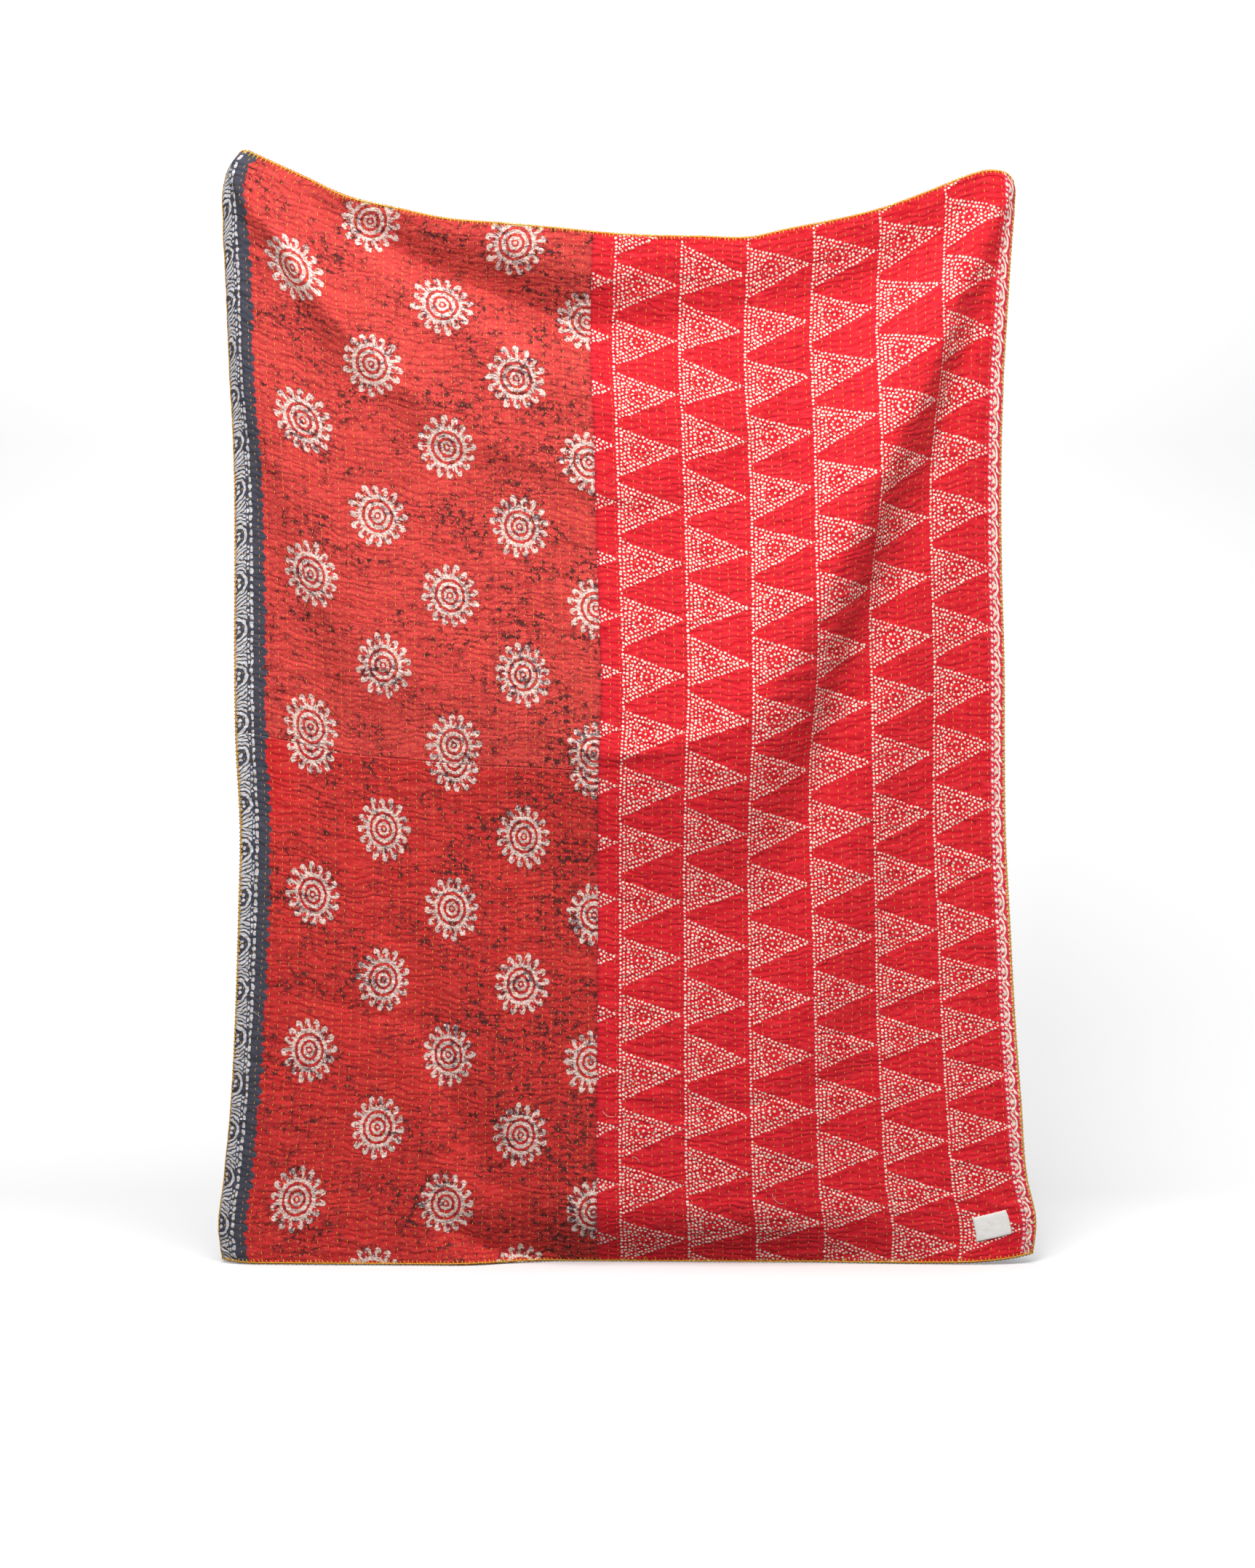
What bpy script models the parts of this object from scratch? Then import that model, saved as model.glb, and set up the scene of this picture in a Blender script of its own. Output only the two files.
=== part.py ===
"""A kantha throw: three quilted pieces of printed cotton sewn into one cloth, and a sewn label.

It hangs from its two upper corners with its hem on the floor, and is seen from -Y. The origin is
the lowest stretch of its sagging top edge. Lengths are in metres. Every point of the cloth is
named by its place on the flat cloth: `across` from the left edge, and `down` from the top edge.
"""

import bmesh
import bpy
import numpy as np

# Flat cloth
SUN_WIDTH = 0.63
TRIANGLE_WIDTH = 0.73
WIDTH = SUN_WIDTH + TRIANGLE_WIDTH
LENGTH = 1.80
JOIN_DOWN = 0.945
SEAM_GAP = 0.0003

# Quilting: rows of running stitch that run down the cloth, with a soft rib between two rows
SUN_ROWS = 40
TRIANGLE_ROWS = 46
CORE = 0.0018
RIB = 0.0012
FLOOR = -1.642

# Steps down the cloth, closer where the top edge and the hem bend
BANDS = (
    # until, steps
    (0.12, 3),
    (JOIN_DOWN, 14),
    (1.53, 6),
    (LENGTH, 6),
)
FINE = 8

# Side edges and the seam between the panels, seen from the front
EDGES = (
    # down, left, seam, right
    (0.000, -0.628, -0.0545, 0.618),
    (0.015, -0.640, -0.055, 0.620),
    (0.040, -0.647, -0.056, 0.620),
    (0.100, -0.649, -0.058, 0.616),
    (0.200, -0.644, -0.0595, 0.610),
    (0.350, -0.638, -0.054, 0.602),
    (0.500, -0.631, -0.0505, 0.599),
    (0.650, -0.629, -0.046, 0.600),
    (0.820, -0.629, -0.042, 0.604),
    (0.950, -0.627, -0.046, 0.604),
    (1.090, -0.620, -0.047, 0.605),
    (1.250, -0.623, -0.047, 0.612),
    (1.400, -0.628, -0.048, 0.619),
    (1.550, -0.636, -0.049, 0.629),
    (1.670, -0.647, -0.049, 0.638),
    (1.750, -0.655, -0.048, 0.653),
    (1.800, -0.649, -0.046, 0.648),
)

# The top edge: rounded corners that carry the cloth, and the sag between them
TOP_EDGE = (
    # across, height
    (0.000, 0.122),
    (0.012, 0.132),
    (0.030, 0.137),
    (0.048, 0.130),
    (0.080, 0.116),
    (0.145, 0.088),
    (0.195, 0.066),
    (0.290, 0.044),
    (0.380, 0.026),
    (0.475, 0.017),
    (0.570, 0.009),
    (0.690, 0.000),
    (0.815, -0.002),
    (0.900, -0.003),
    (0.965, 0.009),
    (1.035, 0.021),
    (1.110, 0.038),
    (1.210, 0.072),
    (1.265, 0.093),
    (1.315, 0.104),
    (1.342, 0.100),
    (WIDTH, 0.088),
)

# The hem rests on the floor and lifts a little at its right end
HEM = (
    # across, lift
    (0.00, 0.003),
    (0.06, 0.000),
    (0.12, 0.000),
    (1.10, 0.000),
    (1.16, 0.000),
    (1.28, 0.004),
    (WIDTH, 0.014),
)

# How far the cloth stands towards the viewer at its top edge, half way down and at its hem
SWAY = (
    # across, top, middle, hem
    (0.00, -0.004, -0.010, 0.000),
    (0.16, 0.006, 0.004, 0.010),
    (0.34, 0.002, 0.016, 0.016),
    (0.50, 0.016, 0.022, 0.020),
    (0.66, 0.010, 0.026, 0.018),
    (0.86, 0.002, 0.024, 0.022),
    (1.04, 0.012, 0.012, 0.018),
    (1.20, 0.002, -0.004, 0.010),
    (WIDTH, 0.000, -0.012, 0.006),
)

# How far each side edge rolls back
ROLL_WIDTH = 0.060
ROLL = (
    # down, left, right
    (0.00, 0.024, 0.020),
    (0.35, 0.020, 0.016),
    (0.70, 0.008, 0.012),
    (1.20, 0.006, 0.006),
    (1.60, 0.018, 0.006),
    (LENGTH, 0.022, 0.016),
)

# Folds that hang between the corners. Each is a line across the cloth. The cloth rises by `rise`
# at the line, and comes back over the distances `above` and `below` it, measured down the cloth.
# A crisp fold has a sharper line.
VALLEY_UNDER_TOP_EDGE = (
    # across, down, rise, above, below
    (0.14, 0.020, 0.000, 0.050, 0.070),
    (0.20, 0.034, -0.010, 0.050, 0.070),
    (0.27, 0.056, -0.020, 0.060, 0.080),
    (0.34, 0.080, -0.027, 0.074, 0.090),
    (0.43, 0.112, -0.037, 0.094, 0.100),
    (0.52, 0.142, -0.041, 0.106, 0.120),
    (0.62, 0.160, -0.038, 0.112, 0.150),
    (0.70, 0.158, -0.029, 0.120, 0.190),
    (0.80, 0.146, -0.023, 0.124, 0.220),
    (0.90, 0.132, -0.019, 0.120, 0.220),
    (1.02, 0.120, -0.016, 0.110, 0.200),
    (1.14, 0.104, -0.012, 0.095, 0.160),
    (1.25, 0.076, -0.006, 0.070, 0.120),
    (1.34, 0.040, 0.000, 0.050, 0.080),
)
CREASE_FROM_LEFT_CORNER = (
    # across, down, rise, above, below
    (0.010, 0.020, 0.000, 0.090, 0.030),
    (0.045, 0.070, 0.008, 0.100, 0.046),
    (0.106, 0.112, 0.017, 0.130, 0.070),
    (0.150, 0.165, 0.018, 0.150, 0.084),
    (0.270, 0.276, 0.016, 0.160, 0.090),
    (0.350, 0.340, 0.012, 0.150, 0.080),
    (0.430, 0.384, 0.008, 0.130, 0.064),
    (0.525, 0.425, 0.006, 0.110, 0.034),
    (0.630, 0.458, 0.004, 0.100, 0.030),
    (0.726, 0.455, 0.0035, 0.100, 0.030),
    (0.785, 0.437, 0.003, 0.100, 0.034),
    (0.880, 0.350, 0.002, 0.110, 0.040),
    (1.000, 0.240, 0.000, 0.110, 0.040),
)
POUCH = (
    # across, down, rise, above, below
    (0.000, 0.300, 0.000, 0.200, 0.160),
    (0.080, 0.490, 0.010, 0.300, 0.180),
    (0.145, 0.635, 0.012, 0.360, 0.180),
    (0.235, 0.756, 0.012, 0.400, 0.200),
    (0.310, 0.815, 0.012, 0.410, 0.230),
    (0.410, 0.852, 0.014, 0.420, 0.260),
    (0.545, 0.884, 0.020, 0.430, 0.270),
    (0.630, 0.912, 0.027, 0.440, 0.280),
    (0.700, 0.914, 0.033, 0.450, 0.300),
    (0.780, 0.902, 0.042, 0.460, 0.320),
    (0.860, 0.866, 0.054, 0.480, 0.350),
    (0.920, 0.806, 0.064, 0.480, 0.370),
    (0.976, 0.724, 0.072, 0.470, 0.375),
    (1.038, 0.608, 0.076, 0.440, 0.370),
    (1.100, 0.496, 0.073, 0.390, 0.360),
    (1.160, 0.392, 0.060, 0.320, 0.335),
    (1.214, 0.300, 0.044, 0.250, 0.300),
    (1.257, 0.208, 0.027, 0.170, 0.240),
    (1.316, 0.090, 0.010, 0.090, 0.140),
    (WIDTH, 0.000, 0.000, 0.080, 0.060),
)
BELLY_OVER_HEM = (
    # across, down, rise, above, below
    (0.34, 1.725, 0.000, 0.090, 0.060),
    (0.41, 1.752, -0.018, 0.100, 0.066),
    (0.46, 1.774, -0.032, 0.108, 0.070),
    (0.51, 1.788, -0.040, 0.114, 0.080),
    (0.56, 1.798, -0.043, 0.118, 0.080),
    (0.66, 1.804, -0.042, 0.120, 0.080),
    (0.78, 1.806, -0.041, 0.120, 0.080),
    (0.92, 1.806, -0.038, 0.120, 0.080),
    (1.02, 1.803, -0.030, 0.114, 0.080),
    (1.10, 1.798, -0.018, 0.106, 0.080),
    (1.18, 1.796, -0.008, 0.100, 0.080),
    (1.26, 1.790, 0.000, 0.100, 0.080),
)
SLACK_ON_LEFT = (
    # across, down, rise, above, below
    (0.22, 1.100, 0.000, 0.200, 0.140),
    (0.27, 1.250, -0.006, 0.220, 0.150),
    (0.33, 1.390, -0.010, 0.220, 0.150),
    (0.39, 1.540, -0.014, 0.200, 0.130),
    (0.46, 1.655, -0.016, 0.180, 0.110),
    (0.54, 1.700, -0.008, 0.160, 0.090),
    (0.60, 1.710, 0.000, 0.140, 0.080),
)
RIDGE_ON_RIGHT = (
    # across, down, rise, above, below
    (0.86, 1.640, 0.000, 0.300, 0.200),
    (0.940, 1.470, 0.010, 0.330, 0.300),
    (1.012, 1.274, 0.017, 0.350, 0.400),
    (1.106, 1.003, 0.020, 0.360, 0.440),
    (1.200, 0.735, 0.014, 0.360, 0.420),
    (1.277, 0.524, 0.006, 0.320, 0.360),
    (1.330, 0.380, 0.000, 0.200, 0.200),
)
FOLDS = (
    # stations, crisp
    (VALLEY_UNDER_TOP_EDGE, 0.3),
    (CREASE_FROM_LEFT_CORNER, 0.5),
    (POUCH, 0.2),
    (BELLY_OVER_HEM, 0.5),
    (SLACK_ON_LEFT, 0.3),
    (RIDGE_ON_RIGHT, 0.0),
)

# The label hangs a little crooked near the lower right corner
LABEL_WIDTH = 0.058
LABEL_HEIGHT = 0.040
LABEL_ACROSS = 1.283
LABEL_DOWN = 1.742
LABEL_TURN = np.radians(7)
LABEL_THICKNESS = 0.0010
LABEL_STEPS = (8, 6)


def through(table, column, at):
    """A column of a table, carried through its stations by a cubic with its neighbours' slopes."""
    rows = np.array(table)
    stations, values = rows[:, 0], rows[:, column]
    slopes = np.gradient(values, stations)
    at = np.clip(at, stations[0], stations[-1])
    i = np.clip(np.searchsorted(stations, at) - 1, 0, len(stations) - 2)
    gap = stations[i + 1] - stations[i]
    p = (at - stations[i]) / gap
    leave = (2 * p**3 - 3 * p**2 + 1) * values[i] + (p**3 - 2 * p**2 + p) * gap * slopes[i]
    reach = (3 * p**2 - 2 * p**3) * values[i + 1] + (p**3 - p**2) * gap * slopes[i + 1]
    return leave + reach


def fold(stations, crisp, across, down):
    """How far a fold lifts the cloth: rise (1-x)^2 (1+2x) from its line, (1-x)^2 if it is crisp."""
    away = down[:, None] - through(stations, 1, across)
    reach = np.where(away < 0, through(stations, 3, across), through(stations, 4, across))
    x = np.clip(np.abs(away) / reach, 0, 1)
    return through(stations, 2, across) * (1 - x) ** 2 * (1 + 2 * x * (1 - crisp))


def standing(across, down):
    """How far each point stands towards the viewer: the sway, less the rolled edges, and the folds."""
    share = down[:, None] / LENGTH
    top, middle, hem = (through(SWAY, column, across) for column in (1, 2, 3))
    out = top * (1 - share) * (1 - 2 * share) + 4 * middle * share * (1 - share)
    out = out + hem * share * (2 * share - 1)
    for column, inward in ((1, across), (2, WIDTH - across)):
        roll = through(ROLL, column, down)[:, None]
        out = out - roll * np.clip(1 - inward / ROLL_WIDTH, 0, 1) ** 2
    for stations, crisp in FOLDS:
        out = out + fold(stations, crisp, across, down)
    return out


def run(steps, rises):
    """Share of the way covered after each step, where a step that rises by d covers its base only."""
    covered = np.sqrt(np.maximum(steps**2 - rises**2, (0.35 * steps) ** 2))
    covered = np.cumsum(covered, axis=0)
    return np.vstack([np.zeros((1, covered.shape[1])), covered / covered[-1]])


def surface(across, down):
    """Middle of the whole cloth, and its normal, on a grid whose columns part at the panel seam."""
    out = standing(across, down)
    left, seam, right = (through(EDGES, column, down)[:, None] for column in (1, 2, 3))
    sun = across < SUN_WIDTH
    x = []
    for panel, start, end in (
        (sun, left, seam - SEAM_GAP / 2),
        (~sun, seam + SEAM_GAP / 2, right),
    ):
        share = run(np.diff(across[panel])[:, None], np.diff(out[:, panel].T, axis=0)).T
        x.append(start + (end - start) * share)
    top = through(TOP_EDGE, 1, across)
    hem = FLOOR + CORE + through(HEM, 1, across)
    z = top + (hem - top) * run(np.diff(down)[:, None], np.diff(out, axis=0))
    points = np.stack([np.hstack(x), -out, z], axis=-1)
    normals = np.cross(np.gradient(points, axis=0), np.gradient(points, axis=1))
    return points, normals / np.linalg.norm(normals, axis=-1, keepdims=True)


def flat_grid():
    """Distances across and down the flat cloth: 4 steps to a row of quilting, FINE to a band's step."""
    sun = np.linspace(0, SUN_WIDTH - SEAM_GAP / 2, 4 * SUN_ROWS + 1)
    triangle = np.linspace(SUN_WIDTH + SEAM_GAP / 2, WIDTH, 4 * TRIANGLE_ROWS + 1)
    down, start = [np.zeros(1)], 0.0
    for until, steps in BANDS:
        down.append(np.linspace(start, until, steps * FINE + 1)[1:])
        start = until
    return np.concatenate([sun, triangle]), np.concatenate(down)


def material(name, colour, roughness):
    made = bpy.data.materials.new(name)
    made.use_nodes = True
    shader = made.node_tree.nodes["Principled BSDF"]
    shader.inputs["Base Color"].default_value = (*colour, 1)
    shader.inputs["Roughness"].default_value = roughness
    shader.inputs["Metallic"].default_value = 0
    return made


def cells(numbers, falling):
    """Two triangles to each cell of a numbered grid, split along a falling or a rising diagonal."""
    upper_left, upper_right = numbers[:-1, :-1].reshape(-1), numbers[:-1, 1:].reshape(-1)
    lower_left, lower_right = numbers[1:, :-1].reshape(-1), numbers[1:, 1:].reshape(-1)
    if falling:
        halves = (
            (upper_left, lower_left, lower_right),
            (upper_left, lower_right, upper_right),
        )
    else:
        halves = (
            (upper_left, lower_left, upper_right),
            (lower_left, lower_right, upper_right),
        )
    return np.concatenate([np.stack(half, axis=-1) for half in halves]).tolist()


def rim(front, back):
    """Faces between an edge of the front and the same edge of the back, with equal or half steps."""
    if len(front) == len(back):
        return [
            (front[i], front[i + 1], back[i + 1], back[i]) for i in range(len(front) - 1)
        ]
    faces = []
    for i in range(len(back) - 1):
        near, middle, far = front[2 * i : 2 * i + 3]
        faces += [(near, middle, back[i]), (middle, far, back[i + 1])]
        faces.append((middle, back[i + 1], back[i]))
    return faces


def closed_sheet(name, front, back, finish, falling):
    """One closed solid between a front grid and a back grid with as many or half the columns."""
    f = np.arange(front.shape[0] * front.shape[1]).reshape(front.shape[:2])
    b = f.size + np.arange(back.shape[0] * back.shape[1]).reshape(back.shape[:2])
    faces = cells(f, falling) + cells(b, falling)
    for edge_f, edge_b in (
        (f[0], b[0]),
        (f[-1], b[-1]),
        (f[:, 0], b[:, 0]),
        (f[:, -1], b[:, -1]),
    ):
        faces += rim(edge_f.tolist(), edge_b.tolist())
    mesh = bpy.data.meshes.new(name)
    points = np.concatenate([front.reshape(-1, 3), back.reshape(-1, 3)])
    mesh.from_pydata(points.tolist(), [], faces)
    shell = bmesh.new()
    shell.from_mesh(mesh)
    bmesh.ops.recalc_face_normals(shell, faces=shell.faces)
    shell.to_mesh(mesh)
    shell.free()
    mesh.shade_smooth()
    mesh.materials.append(finish)
    bpy.context.collection.objects.link(bpy.data.objects.new(name, mesh))


def quilted(name, points, normals, finish, falling):
    """A quilted panel: its front stands up in a rib between each two rows of stitches."""
    puff = np.zeros(points.shape[1])
    puff[1::2] = RIB
    front = points + normals * (CORE / 2 + puff)[:, None]
    back = points[:, ::2] - normals[:, ::2] * CORE / 2
    closed_sheet(name, front, back, finish, falling)


def panels(print_red, crimson):
    """The two sun panels, which meet at the cross seam, and the long triangle panel beside them."""
    across, down = flat_grid()
    points, normals = surface(across, down)
    at = int(np.argmin(np.abs(down - JOIN_DOWN)))
    sun = slice(0, 4 * SUN_ROWS + 1, 2)
    triangle = slice(4 * SUN_ROWS + 1, None, 2)
    half_gap = SEAM_GAP / 2 / (down[at + 1] - down[at])
    upper = points[: at + 1 : FINE, sun].copy()
    lower = points[at::FINE, sun].copy()
    upper[-1] += (points[at - 1, sun] - points[at, sun]) * half_gap
    lower[0] += (points[at + 1, sun] - points[at, sun]) * half_gap
    quilted("sun_panel_top", upper, normals[: at + 1 : FINE, sun], print_red, True)
    quilted("sun_panel_bottom", lower, normals[at::FINE, sun], print_red, True)
    grid = points[::FINE, triangle], normals[::FINE, triangle]
    quilted("triangle_panel", *grid, crimson, False)
    return across[triangle], down[::FINE], *grid


def label(panel, cream):
    """The sewn label: a small cloth rectangle that lies on the ribs of the triangle panel."""
    across, down, points, normals = panel
    u = np.linspace(-0.5, 0.5, LABEL_STEPS[0] + 1) * LABEL_WIDTH
    v = np.linspace(-0.5, 0.5, LABEL_STEPS[1] + 1) * LABEL_HEIGHT
    u, v = np.meshgrid(u, v)
    u, v = (
        LABEL_ACROSS + u * np.cos(LABEL_TURN) + v * np.sin(LABEL_TURN),
        LABEL_DOWN + v * np.cos(LABEL_TURN) - u * np.sin(LABEL_TURN),
    )
    i = np.clip(np.searchsorted(down, v) - 1, 0, len(down) - 2)
    j = np.clip(np.searchsorted(across, u) - 1, 0, len(across) - 2)
    p = ((v - down[i]) / (down[i + 1] - down[i]))[..., None]
    q = ((u - across[j]) / (across[j + 1] - across[j]))[..., None]

    def there(grid):
        upper = grid[i, j] * (1 - q) + grid[i, j + 1] * q
        lower = grid[i + 1, j] * (1 - q) + grid[i + 1, j + 1] * q
        return upper * (1 - p) + lower * p

    base, normal = there(points), there(normals)
    back = base + normal * (CORE / 2 + RIB + SEAM_GAP)
    closed_sheet("label", back + normal * LABEL_THICKNESS, back, cream, True)


for thing in list(bpy.data.objects):
    bpy.data.objects.remove(thing, do_unlink=True)
triangle_grid = panels(
    material("faded batik red", (0.56, 0.035, 0.030), 0.85),
    material("crimson", (0.66, 0.012, 0.030), 0.85),
)
label(triangle_grid, material("cream cotton", (0.83, 0.79, 0.68), 0.9))
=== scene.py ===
from functools import partialmethod

import bpy
import numpy as np
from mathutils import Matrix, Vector


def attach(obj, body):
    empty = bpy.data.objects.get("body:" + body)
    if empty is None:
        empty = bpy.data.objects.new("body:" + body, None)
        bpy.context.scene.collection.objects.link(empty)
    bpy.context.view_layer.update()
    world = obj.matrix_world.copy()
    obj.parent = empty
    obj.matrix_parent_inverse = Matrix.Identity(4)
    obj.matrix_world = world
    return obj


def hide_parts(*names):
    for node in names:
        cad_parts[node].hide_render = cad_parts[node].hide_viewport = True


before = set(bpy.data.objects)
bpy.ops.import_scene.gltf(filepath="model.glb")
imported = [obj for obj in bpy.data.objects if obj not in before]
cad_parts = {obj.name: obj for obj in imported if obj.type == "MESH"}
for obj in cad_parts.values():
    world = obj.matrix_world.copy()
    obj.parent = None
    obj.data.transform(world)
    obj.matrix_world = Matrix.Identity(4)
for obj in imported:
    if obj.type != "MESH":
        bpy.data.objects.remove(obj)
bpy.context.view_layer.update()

# Floor, sweep and camera. A pale paper sweep runs under the hem and up behind the throw, and is
# clear from behind, so that the back of the throw can be looked at. The camera looks straight at
# the cloth from in front, level with the middle of its frame.
FLOOR_HEIGHT = -1.642
SWEEP_WIDTH, SWEEP_FRONT, SWEEP_BACK, SWEEP_BEND, SWEEP_TOP = 16.0, -7.0, 2.4, 1.6, 6.0
SWEEP_STEPS = 25
CAMERA_DISTANCE, CAMERA_HEIGHT, FRAME_HEIGHT = 4.6, -0.876, 2.501
PAPER_WHITE, PAPER_ROUGHNESS = (0.93, 0.93, 0.93, 1), 0.9


def sweep_profile(steps):
    """Flat from the front, a quarter circle of radius SWEEP_BEND, then straight up."""
    turn = np.linspace(0, np.pi / 2, steps)
    y = SWEEP_BACK - SWEEP_BEND + SWEEP_BEND * np.sin(turn)
    z = FLOOR_HEIGHT + SWEEP_BEND - SWEEP_BEND * np.cos(turn)
    y = np.concatenate([[SWEEP_FRONT], y, [SWEEP_BACK]])
    return y, np.concatenate([[FLOOR_HEIGHT], z, [SWEEP_TOP]])


def mesh_object(name, points, faces):
    mesh = bpy.data.meshes.new(name)
    mesh.from_pydata(points.tolist(), [], faces)
    mesh.shade_smooth()
    thing = bpy.data.objects.new(name, mesh)
    bpy.context.scene.collection.objects.link(thing)
    return thing


def grid_faces(rows, columns):
    """Four-sided faces of a grid numbered row by row, which face the side where rows run down."""
    corner = (np.arange(rows - 1)[:, None] * columns + np.arange(columns - 1)).reshape(-1)
    return np.stack([corner, corner + columns, corner + columns + 1, corner + 1], axis=-1)


def new_material(name, roughness):
    """A material, its node tree and its shader."""
    material = bpy.data.materials.new(name)
    material.use_nodes = True
    shader = material.node_tree.nodes["Principled BSDF"]
    shader.inputs["Roughness"].default_value = roughness
    return material, material.node_tree, shader


sweep_y, sweep_z = sweep_profile(SWEEP_STEPS)
sweep_x = np.tile([-SWEEP_WIDTH / 2, SWEEP_WIDTH / 2], len(sweep_y))
sweep_points = np.stack([sweep_x, np.repeat(sweep_y, 2), np.repeat(sweep_z, 2)], axis=-1)
sweep_faces = grid_faces(len(sweep_y), 2)[:, ::-1].tolist()
sweep = mesh_object("paper_sweep", sweep_points, sweep_faces)
paper, paper_tree, paper_shader = new_material("pale paper", PAPER_ROUGHNESS)
paper_shader.inputs["Base Color"].default_value = PAPER_WHITE
paper_side = paper_tree.nodes.new("ShaderNodeNewGeometry")
clear_behind = paper_tree.nodes.new("ShaderNodeMath")
clear_behind.operation = "SUBTRACT"
clear_behind.inputs[0].default_value = 1.0
paper_tree.links.new(paper_side.outputs["Backfacing"], clear_behind.inputs[1])
paper_tree.links.new(clear_behind.outputs["Value"], paper_shader.inputs["Alpha"])
sweep.data.materials.append(paper)
sweep.visible_diffuse = False

camera = bpy.data.objects.new("camera", bpy.data.cameras.new("camera"))
camera.data.sensor_fit = "VERTICAL"
camera.data.lens = camera.data.sensor_height * CAMERA_DISTANCE / FRAME_HEIGHT
camera.location = (0, -CAMERA_DISTANCE, CAMERA_HEIGHT)
camera.rotation_euler = (np.pi / 2, 0, 0)
bpy.context.scene.collection.objects.link(camera)
bpy.context.scene.camera = camera

# Studio light. Broad soft boxes high on the left and over the throw, a weak one on the right, one
# over the paper behind, and a dim white room.
SOFT_BOXES = (
    # name, place, aimed at, size, watts
    ("key", (-1.1, -3.8, 1.8), (0.0, 0.0, -0.9), 2.0, 136),
    ("top", (0.4, -2.4, 2.6), (0.0, 0.0, -0.9), 2.4, 84),
    ("fill", (3.4, -2.4, 0.9), (0.0, 0.0, -0.8), 3.0, 44),
    ("paper", (-0.4, 0.3, 3.6), (-0.2, 2.4, 0.0), 3.0, 168),
)
ROOM_LIGHT = 0.15


def aim(place, target):
    """Turn that points a light's -Z from place at target."""
    return (Vector(target) - Vector(place)).to_track_quat("-Z", "Y").to_euler()


for light_name, place, target, size, watts in SOFT_BOXES:
    lamp = bpy.data.lights.new(light_name, "AREA")
    lamp.shape, lamp.size, lamp.energy = "SQUARE", size, watts
    light = bpy.data.objects.new(light_name, lamp)
    light.location, light.rotation_euler = place, aim(place, target)
    bpy.context.scene.collection.objects.link(light)
room = bpy.data.worlds.new("white room")
room.use_nodes = True
room_shader = room.node_tree.nodes["Background"]
room_shader.inputs["Color"].default_value = (1, 1, 1, 1)
room_shader.inputs["Strength"].default_value = ROOM_LIGHT
bpy.context.scene.world = room
bpy.context.scene.view_settings.view_transform = "Standard"

# The hung cloth. It carries all the pieces: its middle surface follows the sagging top edge, the
# side edges, the hem on the floor and the folds between the corners. Tables are in millimetres.
SUN_WIDTH, TRIANGLE_WIDTH, LENGTH, JOIN_DOWN = 0.63, 0.73, 1.80, 0.945
WIDTH = SUN_WIDTH + TRIANGLE_WIDTH
SUN_ROWS, TRIANGLE_ROWS = 40, 46
CORE, RIB, SEAM_GAP = 0.0018, 0.0012, 0.00002
EDGES = (
    # down, left, seam, right
    (0, -628, -54.5, 618), (15, -640, -55, 620), (40, -647, -56, 620), (100, -649, -58, 616),
    (200, -644, -59.5, 610), (350, -638, -54, 602), (500, -631, -50.5, 599),
    (650, -629, -46, 600), (820, -629, -42, 604), (950, -627, -46, 604), (1090, -620, -47, 605),
    (1250, -623, -47, 612), (1400, -628, -48, 619), (1550, -636, -49, 629),
    (1670, -647, -49, 638), (1750, -655, -48, 653), (1800, -649, -46, 648),
)
TOP_EDGE = (
    # across, height
    (0, 122), (12, 132), (30, 137), (48, 130), (80, 116), (145, 88), (195, 66), (290, 44),
    (380, 26), (475, 17), (570, 9), (690, 0), (815, -2), (900, -3), (965, 9), (1035, 21),
    (1110, 38), (1210, 72), (1265, 93), (1315, 104), (1342, 100), (1360, 88),
)
HEM = (
    # across, lift
    (0, 3), (60, 0), (120, 0), (1100, 0), (1160, 0), (1280, 4), (1360, 14),
)
SWAY = (
    # across, top, middle, hem
    (0, -4, -10, 0), (160, 6, 4, 10), (340, 2, 16, 16), (500, 16, 22, 20), (660, 10, 26, 18),
    (860, 2, 24, 22), (1040, 12, 12, 18), (1200, 2, -4, 10), (1360, 0, -12, 6),
)
ROLL_WIDTH, LEAST_RUN = 0.060, 0.35
ROLL = (
    # down, left, right
    (0, 24, 20), (350, 20, 16), (700, 8, 12), (1200, 6, 6), (1600, 18, 6), (1800, 22, 16),
)
# Folds, by stations along each: across, down, rise, and the reach above and below its line.
VALLEY_UNDER_TOP_EDGE = (
    (140, 20, 0, 50, 70), (200, 34, -10, 50, 70), (270, 56, -20, 60, 80),
    (340, 80, -27, 74, 90), (430, 112, -37, 94, 100), (520, 142, -41, 106, 120),
    (620, 160, -38, 112, 150), (700, 158, -29, 120, 190), (800, 146, -23, 124, 220),
    (900, 132, -19, 120, 220), (1020, 120, -16, 110, 200), (1140, 104, -12, 95, 160),
    (1250, 76, -6, 70, 120), (1340, 40, 0, 50, 80),
)
CREASE_FROM_LEFT_CORNER = (
    (10, 20, 0, 90, 30), (45, 70, 8, 100, 46), (106, 112, 17, 130, 70), (150, 165, 18, 150, 84),
    (270, 276, 16, 160, 90), (350, 340, 12, 150, 80), (430, 384, 8, 130, 64),
    (525, 425, 6, 110, 34), (630, 458, 4, 100, 30), (726, 455, 3.5, 100, 30),
    (785, 437, 3, 100, 34), (880, 350, 2, 110, 40), (1000, 240, 0, 110, 40),
)
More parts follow.
